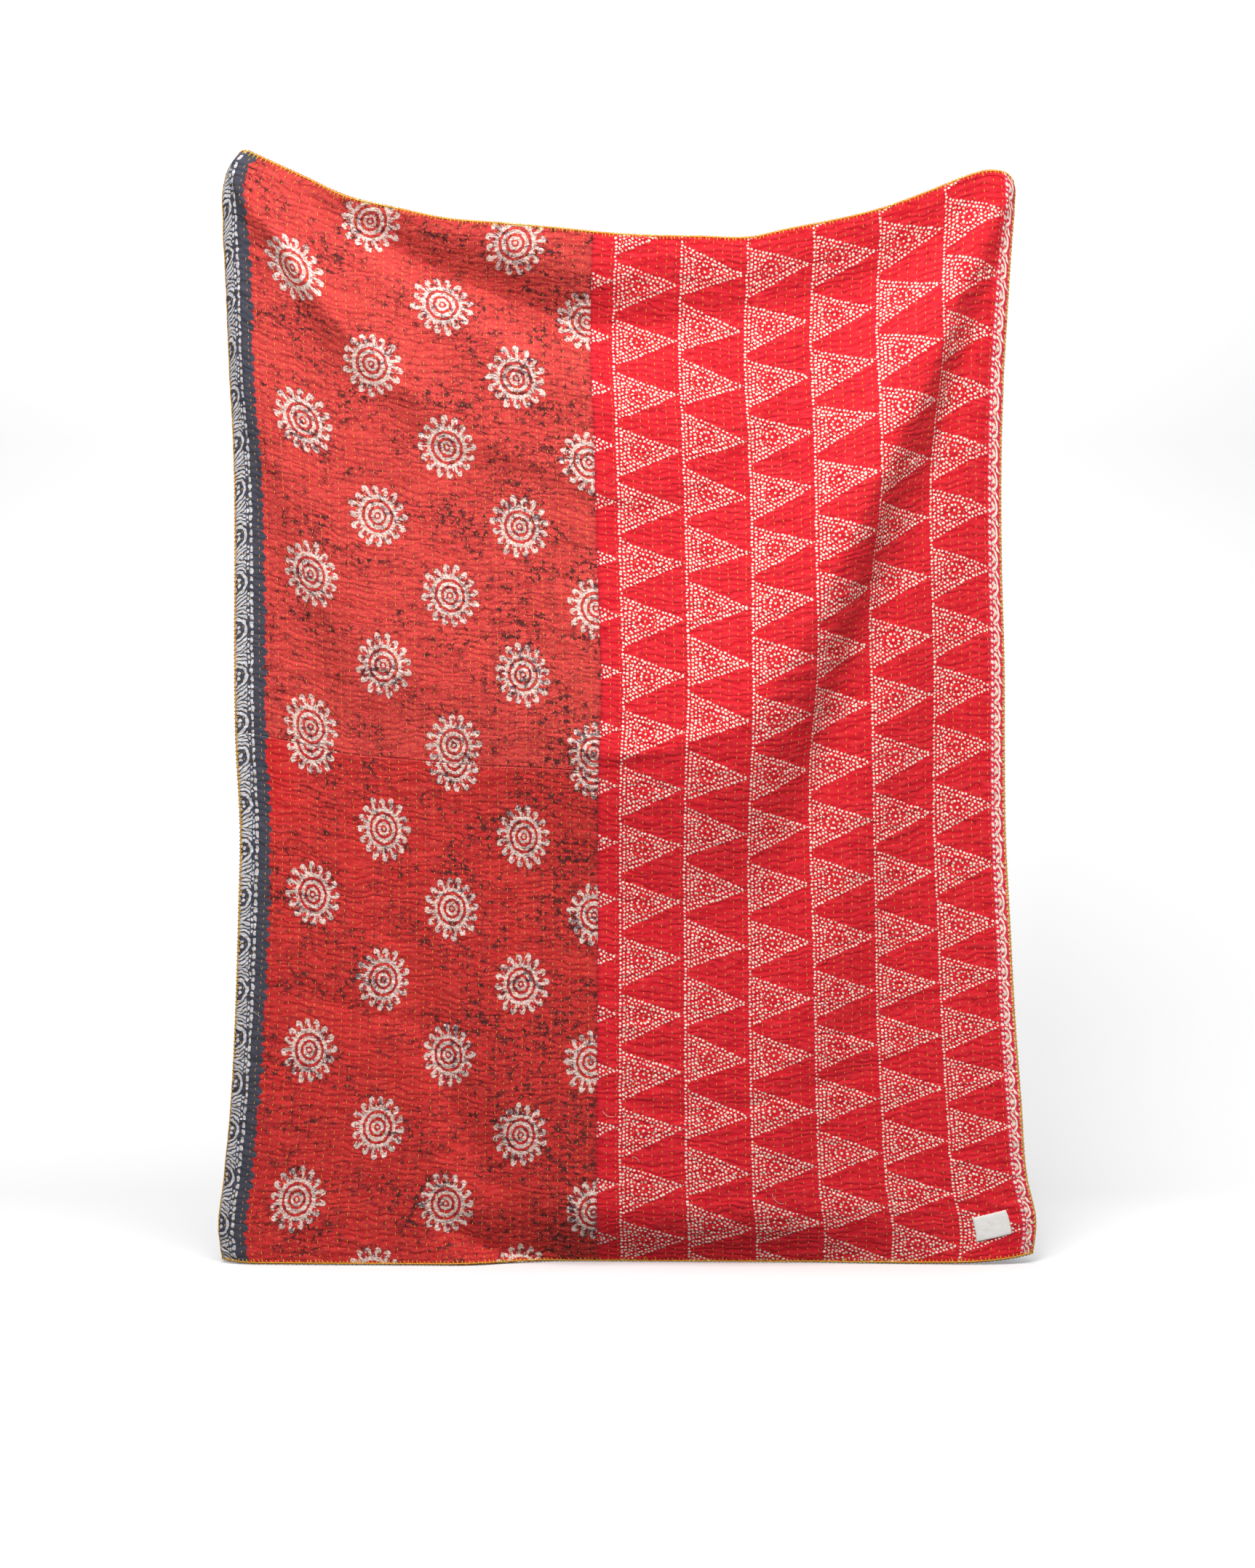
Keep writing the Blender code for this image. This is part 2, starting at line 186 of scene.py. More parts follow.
POUCH = (
    (0, 300, 0, 200, 160), (80, 490, 10, 300, 180), (145, 635, 12, 360, 180),
    (235, 756, 12, 400, 200), (310, 815, 12, 410, 230), (410, 852, 14, 420, 260),
    (545, 884, 20, 430, 270), (630, 912, 27, 440, 280), (700, 914, 33, 450, 300),
    (780, 902, 42, 460, 320), (860, 866, 54, 480, 350), (920, 806, 64, 480, 370),
    (976, 724, 72, 470, 375), (1038, 608, 76, 440, 370), (1100, 496, 73, 390, 360),
    (1160, 392, 60, 320, 335), (1214, 300, 44, 250, 300), (1257, 208, 27, 170, 240),
    (1316, 90, 10, 90, 140), (1360, 0, 0, 80, 60),
)
BELLY_OVER_HEM = (
    (340, 1725, 0, 90, 60), (410, 1752, -18, 100, 66), (460, 1774, -32, 108, 70),
    (510, 1788, -40, 114, 80), (560, 1798, -43, 118, 80), (660, 1804, -42, 120, 80),
    (780, 1806, -41, 120, 80), (920, 1806, -38, 120, 80), (1020, 1803, -30, 114, 80),
    (1100, 1798, -18, 106, 80), (1180, 1796, -8, 100, 80), (1260, 1790, 0, 100, 80),
)
SLACK_ON_LEFT = (
    (220, 1100, 0, 200, 140), (270, 1250, -6, 220, 150), (330, 1390, -10, 220, 150),
    (390, 1540, -14, 200, 130), (460, 1655, -16, 180, 110), (540, 1700, -8, 160, 90),
    (600, 1710, 0, 140, 80),
)
RIDGE_ON_RIGHT = (
    (860, 1640, 0, 300, 200), (940, 1470, 10, 330, 300), (1012, 1274, 17, 350, 400),
    (1106, 1003, 20, 360, 440), (1200, 735, 14, 360, 420), (1277, 524, 6, 320, 360),
    (1330, 380, 0, 200, 200),
)
SMALL_CREASES = (
    # the lip under the pouch, then soft creases lower down
    (
        (480, 872, 0, 50, 24), (545, 890, 2, 60, 26), (630, 912, 4.5, 60, 26),
        (700, 908, 4.5, 60, 26), (780, 888, 4, 60, 28), (860, 856, 2, 60, 30),
        (900, 820, 0, 60, 30),
    ),
    (
        (640, 1530, 0, 35, 30), (740, 1525, -2, 35, 30), (880, 1520, -3, 35, 30),
        (1000, 1490, -2, 35, 30), (1120, 1470, -2, 35, 30), (1240, 1430, 0, 35, 30),
    ),
    (
        (1000, 1410, 0, 35, 30), (1080, 1395, -2, 35, 30), (1180, 1370, -2, 35, 30),
        (1280, 1340, 0, 35, 30),
    ),
    (
        (30, 1350, 0, 35, 30), (100, 1355, -2, 35, 30), (200, 1370, -3, 35, 30),
        (280, 1385, -2, 35, 30), (340, 1400, 0, 35, 30),
    ),
)
FOLDS = (
    # stations, crisp
    (VALLEY_UNDER_TOP_EDGE, 0.3),
    (CREASE_FROM_LEFT_CORNER, 0.5),
    (POUCH, 0.2),
    (BELLY_OVER_HEM, 0.5),
    (SLACK_ON_LEFT, 0.3),
    (RIDGE_ON_RIGHT, 0.0),
    *((stations, 0.6) for stations in SMALL_CREASES),
)


def through(table, column, at):
    """A column of a table in metres: a cubic through its stations, with the neighbours' slopes."""
    rows = np.array(table) / 1000
    stations, values = rows[:, 0], rows[:, column]
    slopes = np.gradient(values, stations)
    at = np.clip(at, stations[0], stations[-1])
    i = np.clip(np.searchsorted(stations, at) - 1, 0, len(stations) - 2)
    gap = stations[i + 1] - stations[i]
    p = (at - stations[i]) / gap
    leave = (2 * p**3 - 3 * p**2 + 1) * values[i] + (p**3 - 2 * p**2 + p) * gap * slopes[i]
    reach = (3 * p**2 - 2 * p**3) * values[i + 1] + (p**3 - p**2) * gap * slopes[i + 1]
    return leave + reach


def fold(stations, crisp, across, down):
    """How far a fold lifts the cloth: rise (1-x)^2 (1+2x) from its line, (1-x)^2 if it is crisp."""
    away = down[:, None] - through(stations, 1, across)
    reach = np.where(away < 0, through(stations, 3, across), through(stations, 4, across))
    x = np.clip(np.abs(away) / reach, 0, 1)
    return through(stations, 2, across) * (1 - x) ** 2 * (1 + 2 * x * (1 - crisp))


def standing(across, down):
    """How far each point stands out to the front: sway, less the rolled edges, and the folds."""
    share = down[:, None] / LENGTH
    top, middle, hem = (through(SWAY, column, across) for column in (1, 2, 3))
    out = top * (1 - share) * (1 - 2 * share) + 4 * middle * share * (1 - share)
    out = out + hem * share * (2 * share - 1)
    for column, inward in ((1, across), (2, WIDTH - across)):
        roll = through(ROLL, column, down)[:, None]
        out = out - roll * np.clip(1 - inward / ROLL_WIDTH, 0, 1) ** 2
    for stations, crisp in FOLDS:
        out = out + fold(stations, crisp, across, down)
    return out


def run(steps, rises):
    """Share of the way covered after each step. A step that rises by d covers its base only."""
    covered = np.sqrt(np.maximum(steps**2 - rises**2, (LEAST_RUN * steps) ** 2))
    covered = np.cumsum(covered, axis=0)
    return np.vstack([np.zeros((1, covered.shape[1])), covered / covered[-1]])


def surface(across, down):
    """Middle of the whole cloth, and its normal, on a grid whose columns part at the panel seam."""
    out = standing(across, down)
    left, seam, right = (through(EDGES, column, down)[:, None] for column in (1, 2, 3))
    sun = across < SUN_WIDTH
    x = []
    for panel, start, end in ((sun, left, seam - SEAM_GAP / 2), (~sun, seam + SEAM_GAP / 2, right)):
        share = run(np.diff(across[panel])[:, None], np.diff(out[:, panel].T, axis=0)).T
        x.append(start + (end - start) * share)
    top = through(TOP_EDGE, 1, across)
    hem = FLOOR_HEIGHT + CORE + through(HEM, 1, across)
    z = top + (hem - top) * run(np.diff(down)[:, None], np.diff(out, axis=0))
    points = np.stack([np.hstack(x), -out, z], axis=-1)
    normals = np.cross(np.gradient(points, axis=0), np.gradient(points, axis=1))
    return points, normals / np.linalg.norm(normals, axis=-1, keepdims=True)


# Printed cotton. Both prints are worked out in millimetres of the flat cloth: u from the left edge
# of the throw and v from its top edge. A shape is the distance to its outline, less than 0 inside.
MM, PILLOW_PITCH = 0.001, 11.6
# node, settings, output and second axis that give a place on the flat cloth
FLAT_PLACES = ("ShaderNodeUVMap", {"uv_map": "flat cloth"}, "UV", "Y")


class Field:
    """A number that a material works out at each point. Arithmetic on it adds shader nodes."""

    def __init__(self, tree, socket):
        self.tree, self.socket = tree, socket

    def node(self, kind, settings, inputs, output=0):
        """Output of a new node. Its settings are set first, then its sockets, by name or number."""
        node = self.tree.nodes.new(kind)
        for name, value in settings.items():
            setattr(node, name, value)
        for name, value in inputs.items():
            if isinstance(value, Field):
                self.tree.links.new(value.socket, node.inputs[name])
            else:
                node.inputs[name].default_value = value
        return Field(self.tree, node.outputs[output])

    def math(self, operation, *others, clamp=False):
        inputs = dict(enumerate((self, *others)))
        return self.node("ShaderNodeMath", {"operation": operation, "use_clamp": clamp}, inputs)

    def __rsub__(self, other):
        return self * -1 + other

    __add__ = __radd__ = partialmethod(math, "ADD")
    __sub__ = partialmethod(math, "SUBTRACT")
    __mul__ = __rmul__ = partialmethod(math, "MULTIPLY")
    __truediv__ = partialmethod(math, "DIVIDE")
    __pow__ = partialmethod(math, "POWER")
    __neg__ = partialmethod(math, "MULTIPLY", -1)
    __abs__ = partialmethod(math, "ABSOLUTE")
    positive = partialmethod(math, "MAXIMUM", 0.0)
    clamped = partialmethod(math, "ADD", 0.0, clamp=True)


def nearest(shape, *others):
    """Several shapes as one."""
    for other in others:
        shape = shape.math("MINIMUM", other)
    return shape


def common(shape, *others):
    """What lies in all of several shapes."""
    for other in others:
        shape = shape.math("MAXIMUM", other)
    return shape


def inside(shape, soft=0.5):
    """1 inside a shape and 0 outside it, over a soft edge."""
    return (0.5 - shape / soft).clamped()


def length(x, y):
    """Distance from 0, 0."""
    return (x * x + y * y).math("SQRT")


def disc(x, y, radius):
    """A round shape about 0, 0."""
    return length(x, y) - radius


def stroke(x, y, start, end, radius):
    """A straight stroke with round ends between two places."""
    run_x, run_y = end[0] - start[0], end[1] - start[1]
    from_x, from_y = x - start[0], y - start[1]
    share = (from_x * run_x + from_y * run_y) / (run_x**2 + run_y**2)
    share = share.clamped()
    return length(from_x - share * run_x, from_y - share * run_y) - radius


def pebble(x, y, half_x, half_y):
    """A rounded rectangle: the third-power oval with these half sizes."""
    oval = abs(x / half_x) ** 3 + abs(y / half_y) ** 3
    return (oval ** (1 / 3) - 1) * min(half_x, half_y)


def repeat(place, pitch):
    """Number of the nearest of many evenly spaced places, and the offset from it."""
    number = (place / pitch).math("ROUND")
    return number, place - number * pitch


def pick(first, second, seed):
    """A random number from 0 to 1 for each pair of whole numbers."""
    place = first.node("ShaderNodeCombineXYZ", {}, {"X": first, "Y": second, "Z": seed})
    return first.node("ShaderNodeTexWhiteNoise", {"noise_dimensions": "3D"}, {"Vector": place})


def cloud(u, v, size_u, size_v, seed, detail=1.0):
    """Soft noise, about -1 to 1."""
    place = u.node("ShaderNodeCombineXYZ", {}, {"X": u / size_u, "Y": v / size_v, "Z": seed})
    settings = {"noise_dimensions": "3D"}
    inputs = {"Vector": place, "Scale": 1.0, "Detail": detail}
    return u.node("ShaderNodeTexNoise", settings, inputs) * 3 - 1.5


def net(u, v, size_u, size_v, seed):
    """Distance to the nearest line of an irregular net, in shares of its mesh."""
    place = u.node("ShaderNodeCombineXYZ", {}, {"X": u / size_u + seed, "Y": v / size_v})
    settings = {"voronoi_dimensions": "2D", "feature": "DISTANCE_TO_EDGE"}
    return u.node("ShaderNodeTexVoronoi", settings, {"Vector": place, "Scale": 1.0})


def layer(under, over, share):
    """One colour laid over another."""
    inputs = {0: share, 6: under, 7: over}
    return share.node("ShaderNodeMix", {"data_type": "RGBA"}, inputs, output=2)


def stars(u, v, size, reach, seed):
    """1 at scattered places about size apart, falling to 0 within reach of them."""
    place = u.node("ShaderNodeCombineXYZ", {}, {"X": u / size + seed, "Y": v / size})
    settings = {"voronoi_dimensions": "2D", "feature": "F1"}
    away = u.node("ShaderNodeTexVoronoi", settings, {"Vector": place, "Scale": 1.0}) * size
    return (1 - away / reach).positive()


def cracks(u, v, size, seed, thin, star, blot):
    """Dye that ran into cracks of the wax: hairlines, which widen to blots where stars stand."""
    warp_u = u + cloud(u, v, size * 1.3, size * 1.3, seed) * size * 0.45
    warp_v = v + cloud(u, v, size * 1.3, size * 1.3, seed + 5) * size * 0.45
    return net(warp_u, warp_v, size * 1.25, size, seed) * size - thin - star * star * blot


def cotton(name, paint, places=FLAT_PLACES, roughness=0.86, gloss=0.12, sheen=0.05):
    """A material whose paint function gives its colour and its height in millimetres."""
    source, settings, output, second = places
    material, tree, shader = new_material(name, roughness)
    shader.inputs["Specular IOR Level"].default_value = gloss
    shader.inputs["Sheen Weight"].default_value = sheen
    place = Field(tree, None).node(source, settings, {}, output)
    x = place.node("ShaderNodeSeparateXYZ", {}, {"Vector": place}, "X")
    y = Field(tree, x.socket.node.outputs[second])
    colour, height = paint(x / MM, y / MM)
    tree.links.new(colour.socket, shader.inputs["Base Color"])
    bump = colour.node("ShaderNodeBump", {}, {"Distance": MM, "Strength": 1.0, "Height": height})
    tree.links.new(bump.socket, shader.inputs["Normal"])
    return material


def pillows(u, v):
    """Height from 0 to 1 of the soft pillows that the rows of stitches draw the cloth up into."""
    phase = v / PILLOW_PITCH + cloud(u, v, 75, 55, 3) * 1.1 + cloud(u, v, 19, 16, 4, 1.5) * 0.42
    even = abs((phase * np.pi).math("SINE"))
    loose = abs(cloud(u, v, 30, 11, 7, 1.5)) * 1.7
    firm = (0.55 + cloud(u, v, 50, 40, 5) * 0.4).clamped()
    mixed = even * firm + loose.math("MINIMUM", 1.0) * (1 - firm)
    return (mixed + 0.0001) ** 0.75


def cotton_relief(u, v, pillow):
    """Height of quilted cotton in millimetres: the pillows, small creases and the weave."""
    fine = cloud(u, v, 8, 2.8, 8, 2.0)
    return pillow * 1.25 + fine * 0.16 + cloud(u, v, 0.9, 0.9, 9) * 0.05


def pillow_wear_highlight_and_shade(red, pillow, pale, groove_shade):
    """Colour paler on top of the pillows, as wear and a painted highlight, and deeper between them,
    as painted shade.
    """
    # pillow tops paler: wear and a painted highlight
    red = layer(red, pale, pillow * pillow * 0.22)
    # between the pillows deeper: painted shade
    return layer(red, groove_shade, (1 - pillow) ** 2.0 * 0.48)


# Sun panels. Faded batik: cream suns in a half-drop lattice on red, brown cracks all over, and a
# navy border at the left edge with half medallions, bold dots and a toothed end.
SUN_PITCH_ACROSS, SUN_PITCH_DOWN = 121.5, 252
SUN_FIRST_ACROSS, SUN_FIRST_DOWN, SUN_LOWER_SHIFT = 136, 158, 26
SUN_RINGS = ((-3, 3), (6.2, 11.2), (16.2, 22.6), (27.6, 33.8))
SUN_HOOKS, HOOK_RADIUS = 16, 34.0
SUN_STRAY, SUN_TALL, SUN_SMALL, SUN_GROWS = 7, 1.04, 0.90, 0.09
LOWER_CRACKS_SHIFT, LOWER_BORDER_SHIFT = 37, 21
MEDALLION_PITCH, BORDER_DOT_PITCH = 76, 12.4
NAVY_WIDTH, TOOTH_PITCH, TOOTH_SHORT, TOOTH_LONG = 50.5, 17, 4, 10
SUN_RED, SUN_RED_LOW = (0.86, 0.072, 0.064, 1), (0.80, 0.034, 0.034, 1)
# The pale sun red is wear and a painted highlight on the pillow tops; the deep sun red is deeper
# dye at random and painted shade between the pillows.
SUN_RED_WORN_HIGHLIGHT, SUN_RED_DEEP_AND_GROOVE_SHADE = (0.86, 0.16, 0.12, 1), (0.34, 0.008, 0.012, 1)
SUN_RED_CLEAN = (0.70, 0.010, 0.018, 1)
SUN_CREAM, SUN_SMOKE = (1.0, 0.84, 0.74, 1), (0.24, 0.15, 0.17, 1)
SUN_BROWN = (0.100, 0.022, 0.022, 1)
BORDER_NAVY, BORDER_GREY = (0.052, 0.052, 0.074, 1), (0.088, 0.086, 0.112, 1)
BORDER_WHITE = (0.74, 0.73, 0.76, 1)


def sun(x, y, seed_a, seed_b):
    """A sun at 0, 0: a dot, three rings, hooks that curl outwards, and spikes between the hooks."""
    r = length(x, y)
    shape = None
    for inner, outer in SUN_RINGS:
        ring = abs(r - (inner + outer) / 2) - (outer - inner) / 2
        shape = ring if shape is None else nearest(shape, ring)
    around = y.math("ARCTAN2", x) * (SUN_HOOKS / (2 * np.pi)) + pick(seed_a, seed_b, 1.0)
    number, offset = repeat(around, 1)
    along = offset * r * (2 * np.pi / SUN_HOOKS)
    size = 0.90 + 0.40 * pick(number, seed_a + seed_b * 7, 2.0)
    flip = (pick(number, seed_a - seed_b * 5, 3.0) - 0.3).math("SIGN")
    q, p = along * flip, (r - HOOK_RADIUS) / size
    bulb = common(disc(q + 0.8, p - 10.4, 5.5), -disc(q + 2.9, p - 7.2, 1.9))
    hook = nearest(bulb, stroke(q, p, (3.0, 9.4), (1.6, -2.0), 2.3))
    beside = (0.5 - abs(offset)) * r * (2 * np.pi / SUN_HOOKS)
    spike = common(beside - 1.8 + 0.34 * p, -3 - p)
    return nearest(shape, hook, spike)


def navy_border(u, v):
    """White figures of the navy border: half medallions, nested strokes, ovals and bold dots."""
    number, y = repeat(v - 14, MEDALLION_PITCH)
    x = u + 1
    m = length(x, y * 1.28)
    band = abs(m - 23.4) - 2.6
    blob_at = repeat(y.math("ARCTAN2", x) * (8 / (2 * np.pi)) + 0.5, 1)[1]
    blobs = disc(blob_at * m * (2 * np.pi / 8), m - 11.6, 3.3)
    blobs = nearest(blobs, disc(x, y, 3.2))
    strokes = abs(repeat(m - 31.8, 7.4)[1]) - 2.3
    strokes = common(strokes, 28.2 - m, u - 23.5)
    ovals = pebble(u - 26.6, repeat(y, 9.4)[1], 1.7, 2.8)
    ovals = common(ovals, 18 - abs(y))
    dot_number, dot_down = repeat(v, BORDER_DOT_PITCH)
    wide = 2.5 + 0.5 * pick(dot_number, number, 4.0)
    dots = pebble((u - 32.2) / wide * 2.7, dot_down, 2.7, 4.2)
    return nearest(band, blobs, strokes, ovals, dots)


def sun_print(u, v):
    """Colour and relief of the sun panels."""
    hand_u = u + cloud(u, v, 7, 7, 20, 2.0) * 1.7
    hand_v = v + cloud(u, v, 7, 7, 21, 2.0) * 1.7
    pillow = pillows(u, v)
    lower = inside(JOIN_DOWN / MM - v, 1.0)
    column = ((hand_u - SUN_FIRST_ACROSS) / SUN_PITCH_ACROSS).math("ROUND")
    x = hand_u - SUN_FIRST_ACROSS - column * SUN_PITCH_ACROSS
    drop = column.math("FLOORED_MODULO", 2.0) * (SUN_PITCH_DOWN / 2)
    row, y = repeat(hand_v - SUN_FIRST_DOWN - drop - lower * SUN_LOWER_SHIFT, SUN_PITCH_DOWN)
    x = x + (pick(column, row, 5.0) - 0.5) * SUN_STRAY
    y = y + (pick(column, row, 6.0) - 0.5) * SUN_STRAY
    rubbed = inside(0.20 - cloud(u, v, 3.6, 2.8, 22, 3.0), 0.4)
    spread = SUN_SMALL + inside(v - 650, 500) * SUN_GROWS
    figure = sun(x / spread, y / SUN_TALL, column, row)
    figure = common(figure, SUN_FIRST_ACROSS - SUN_PITCH_ACROSS / 2 - u)
    suns = inside(figure, 0.7) * (1 - 0.8 * rubbed)
    shifted = v + lower * LOWER_CRACKS_SHIFT
    bare = lower * inside(u - 95 - cloud(u, v, 30, 30, 39) * 20, 50) * inside(v - 1075, 90)
    patch = 0.5 + cloud(u, shifted, 90, 70, 33, 2.0) * 0.75 + inside(430 - u, 200) * 0.18
    patch = (patch - bare).clamped()
    star = stars(u + cloud(u, v, 9, 9, 37) * 4, shifted, 21, 9, 3) * (0.35 + patch)
    small = stars(u + cloud(u, v, 9, 9, 38) * 4, shifted, 12, 5.5, 8) * (0.3 + patch)
    wide = cracks(u, shifted, 9.0, 31, 0.32, star, 1.6)
    fine = cracks(u, shifted, 5.2, 32, 0.22, small, 0.8)
    haze = (cloud(u, shifted, 20, 12, 36, 6.0) - 0.06).clamped()
    veins = inside(wide, 0.9) * (0.30 + patch * 0.42 + star * 0.34)
    veins = veins.math("MAXIMUM", inside(fine, 0.7) * (0.22 + patch * 0.50 + small * 0.34))
    halo = haze * patch * 1.6 + (star + small) * (star + small) * 0.13
    rim = inside(abs(figure) - 1.0, 1.6) * (cloud(u, v, 4, 4, 26, 3.0) + 0.15).positive()
    veins = (veins + halo + rim * 0.8).clamped()
    faded = (0.5 + cloud(u, shifted, 130, 100, 34, 3.0) * 0.6).clamped()
    red = layer(layer(SUN_RED, SUN_RED_LOW, lower), SUN_RED_CLEAN, bare * 0.8)
    red = layer(red, SUN_RED_DEEP_AND_GROOVE_SHADE, faded * 0.26 * (1 - bare))
    # pillow tops paler, as wear and a painted highlight, and painted shade between the pillows
    red = pillow_wear_highlight_and_shade(red, pillow, SUN_RED_WORN_HIGHLIGHT, SUN_RED_DEEP_AND_GROOVE_SHADE)
    red = layer(red, SUN_BROWN, veins)
    craze = inside(net(hand_u, v, 6.2, 4.6, 23) * 5.2 - 0.14, 0.5) * 0.5
    cream = layer(SUN_CREAM, SUN_SMOKE, craze.math("MAXIMUM", veins))
    colour = layer(red, cream, suns)
    tooth = (v / TOOTH_PITCH).math("FLOOR")
    reach = TOOTH_SHORT + (TOOTH_LONG - TOOTH_SHORT) * pick(tooth, tooth, 9.0)
    swell = ((v / TOOTH_PITCH).math("FRACT") * np.pi).math("SINE") ** 0.6
    end = NAVY_WIDTH + reach * swell + cloud(u, v, 8, 6, 35, 3.0) * 3.0
    border = inside(u - end, 0.8)
    # The navy turns greyer at random and on the pillow tops, where the grey is wear and a painted
    # highlight.
    navy = layer(BORDER_NAVY, BORDER_GREY, 0.2 + cloud(u, v, 24, 24, 35, 3.0) * 0.4 + pillow * 0.4)
    border_v = hand_v + lower * LOWER_BORDER_SHIFT + cloud(u, v, 16, 16, 25) * 3
    figures = inside(navy_border(hand_u + cloud(u, v, 16, 16, 24) * 2, border_v), 0.7)
    scratches = inside(net(u, v, 6, 4, 36) * 4 - 0.12, 0.4)
    navy = layer(navy, BORDER_WHITE, figures * (1 - 0.6 * scratches))
    return layer(colour, navy, border), cotton_relief(u, v, pillow)


# Triangle panel. Crimson cotton with columns of triangles that point right, drawn in cream dots,
# and a narrow dotted border at the right edge.
DOT_PITCH = 6.5
TRIANGLE_LINE, TRIANGLE_PITCH_ACROSS, TRIANGLE_PITCH_DOWN = 669.5, 112.5, 98
TRIANGLE_START, TRIANGLE_DRIFT, FIRST_COLUMN_LOWER = 23, 1.8, 29
SQUEEZE_DOWN, SQUEEZE_COLUMN, SQUEEZE = 1250, 1.6, 0.050
TRIANGLE_TOP, TRIANGLE_FOOT, TRIANGLE_REACH, APEX_DOWN = 3, 87, 104, 27
LEAN, LEAN_MORE, LEAN_AROUND = 0.10, 0.12, 45
RING_ACROSS, RING_DOWN, RING_RADIUS, RING_DOTS, RING_CLEAR = 40, 38, 10.6, 10, 16.4
# The pale crimson is wear and a painted highlight on the pillow tops; the deep crimson is painted
# shade between them.
CRIMSON, CRIMSON_WORN_HIGHLIGHT = (0.76, 0.013, 0.026, 1), (0.88, 0.11, 0.12, 1)
CRIMSON_GROOVE_SHADE, CRIMSON_CRACK = (0.44, 0.003, 0.014, 1), (0.20, 0.004, 0.02, 1)
STRIP_ROSE, DOT_CREAM = (0.80, 0.045, 0.095, 1), (0.98, 0.89, 0.77, 1)
STRIP_WIDTH = 28
CHAIN_PITCH, BORDER_BLOB_PITCH = 44, 18


def dot(along, off, seed_a, seed_b):
    """One uneven dot of a row."""
    along = along + (pick(seed_a, seed_b, 7.0) - 0.5) * 2.0
    off = off + (pick(seed_a, seed_b, 8.0) - 0.5) * 2.2
    grow = 0.80 + 0.36 * pick(seed_a, seed_b, 9.0)
    return pebble((along + off * 0.35) / grow, (off - along * 0.25) / grow, 1.80, 1.95)


def dotted_side(across, along, seed):
    """Dots in rows side by side, parallel to one side of a triangle."""
    row, off = repeat(across, DOT_PITCH)
    number, step = repeat(along + row * 2.9, DOT_PITCH)
    return dot(step, off, row + seed, number)


def dotted_triangle(x, y, seed):
    """A triangle with its base on x = 0: rows of dots along its nearest side, and a ring."""
    upper = np.array([TRIANGLE_REACH, APEX_DOWN - TRIANGLE_TOP])
    lower = np.array([TRIANGLE_REACH, APEX_DOWN - TRIANGLE_FOOT])
    upper_x, upper_y = upper / np.hypot(*upper)
    lower_x, lower_y = lower / np.hypot(*lower)
    from_top, from_foot = y - TRIANGLE_TOP, y - TRIANGLE_FOOT
    d_base, t_base = x, y
    d_upper, t_upper = from_top * upper_x - x * upper_y, x * upper_x + from_top * upper_y
    d_lower, t_lower = x * lower_y - from_foot * lower_x, x * lower_x + from_foot * lower_y
    d_side = d_upper.math("MINIMUM", d_lower)
    on_base = d_base.math("LESS_THAN", d_side)
    on_upper = d_upper.math("LESS_THAN", d_lower)
    across = d_side.math("MINIMUM", d_base)
    along = t_upper * on_upper + t_lower * (1 - on_upper)
    along = t_base * on_base + along * (1 - on_base)
    rows = dotted_side(across, along, seed + on_base + on_upper * 2)
    rows = common(rows, -DOT_PITCH / 2 - d_side, DOT_PITCH / 2 - d_base)
    ring_x, ring_y = x - RING_ACROSS, y - RING_DOWN
    r = length(ring_x, ring_y)
    number, step = repeat(ring_y.math("ARCTAN2", ring_x) * (RING_DOTS / (2 * np.pi)), 1)
    ring = dot(step * r * (2 * np.pi / RING_DOTS), r - RING_RADIUS, number, seed)
    middle = dot(ring_x, ring_y, seed, seed)
    return nearest(common(rows, RING_CLEAR - r), ring, middle)


def right_border(e, v):
    """Cream figures of the right border, e from the edge: blobs, fans in half medallions, bells."""
    number, off = repeat(v, BORDER_BLOB_PITCH / 2)
    big = number.math("FLOORED_MODULO", 2.0)
    blobs = length((e - 24) / (1.4 + big * 1.1), off / (1.4 + big * 1.7)) - 1
    link, y = repeat(v + 9, CHAIN_PITCH)
    from_base = 20 - e
    bulge = (length(from_base / 9.4, y / 17.0) - 1) * 9
    chain = common(abs(bulge) - 1.35, -from_base - 0.6)
    r = length(from_base, y)
    ray = repeat(y.math("ARCTAN2", from_base) * (16 / (2 * np.pi)), 1)[1]
    fan = common(abs(ray) * r * (2 * np.pi / 16) - 0.95, r - 7.4, 2.4 - r, -from_base - 0.6)
    knot = repeat(v + 9 + CHAIN_PITCH / 2, CHAIN_PITCH)[1]
    bell = common(abs(e - 10.5 + knot * 0.4) - 0.6 - (knot + 6) * 0.22, abs(knot) - 5.5)
    button = pebble(e - 16, knot + 1, 2.4, 1.7)
    edge_dots = length((e - 3.4) / 1.9, repeat(v, 9.6)[1] / 2.6) - 1
    return nearest(blobs, chain, fan, bell, button, edge_dots)


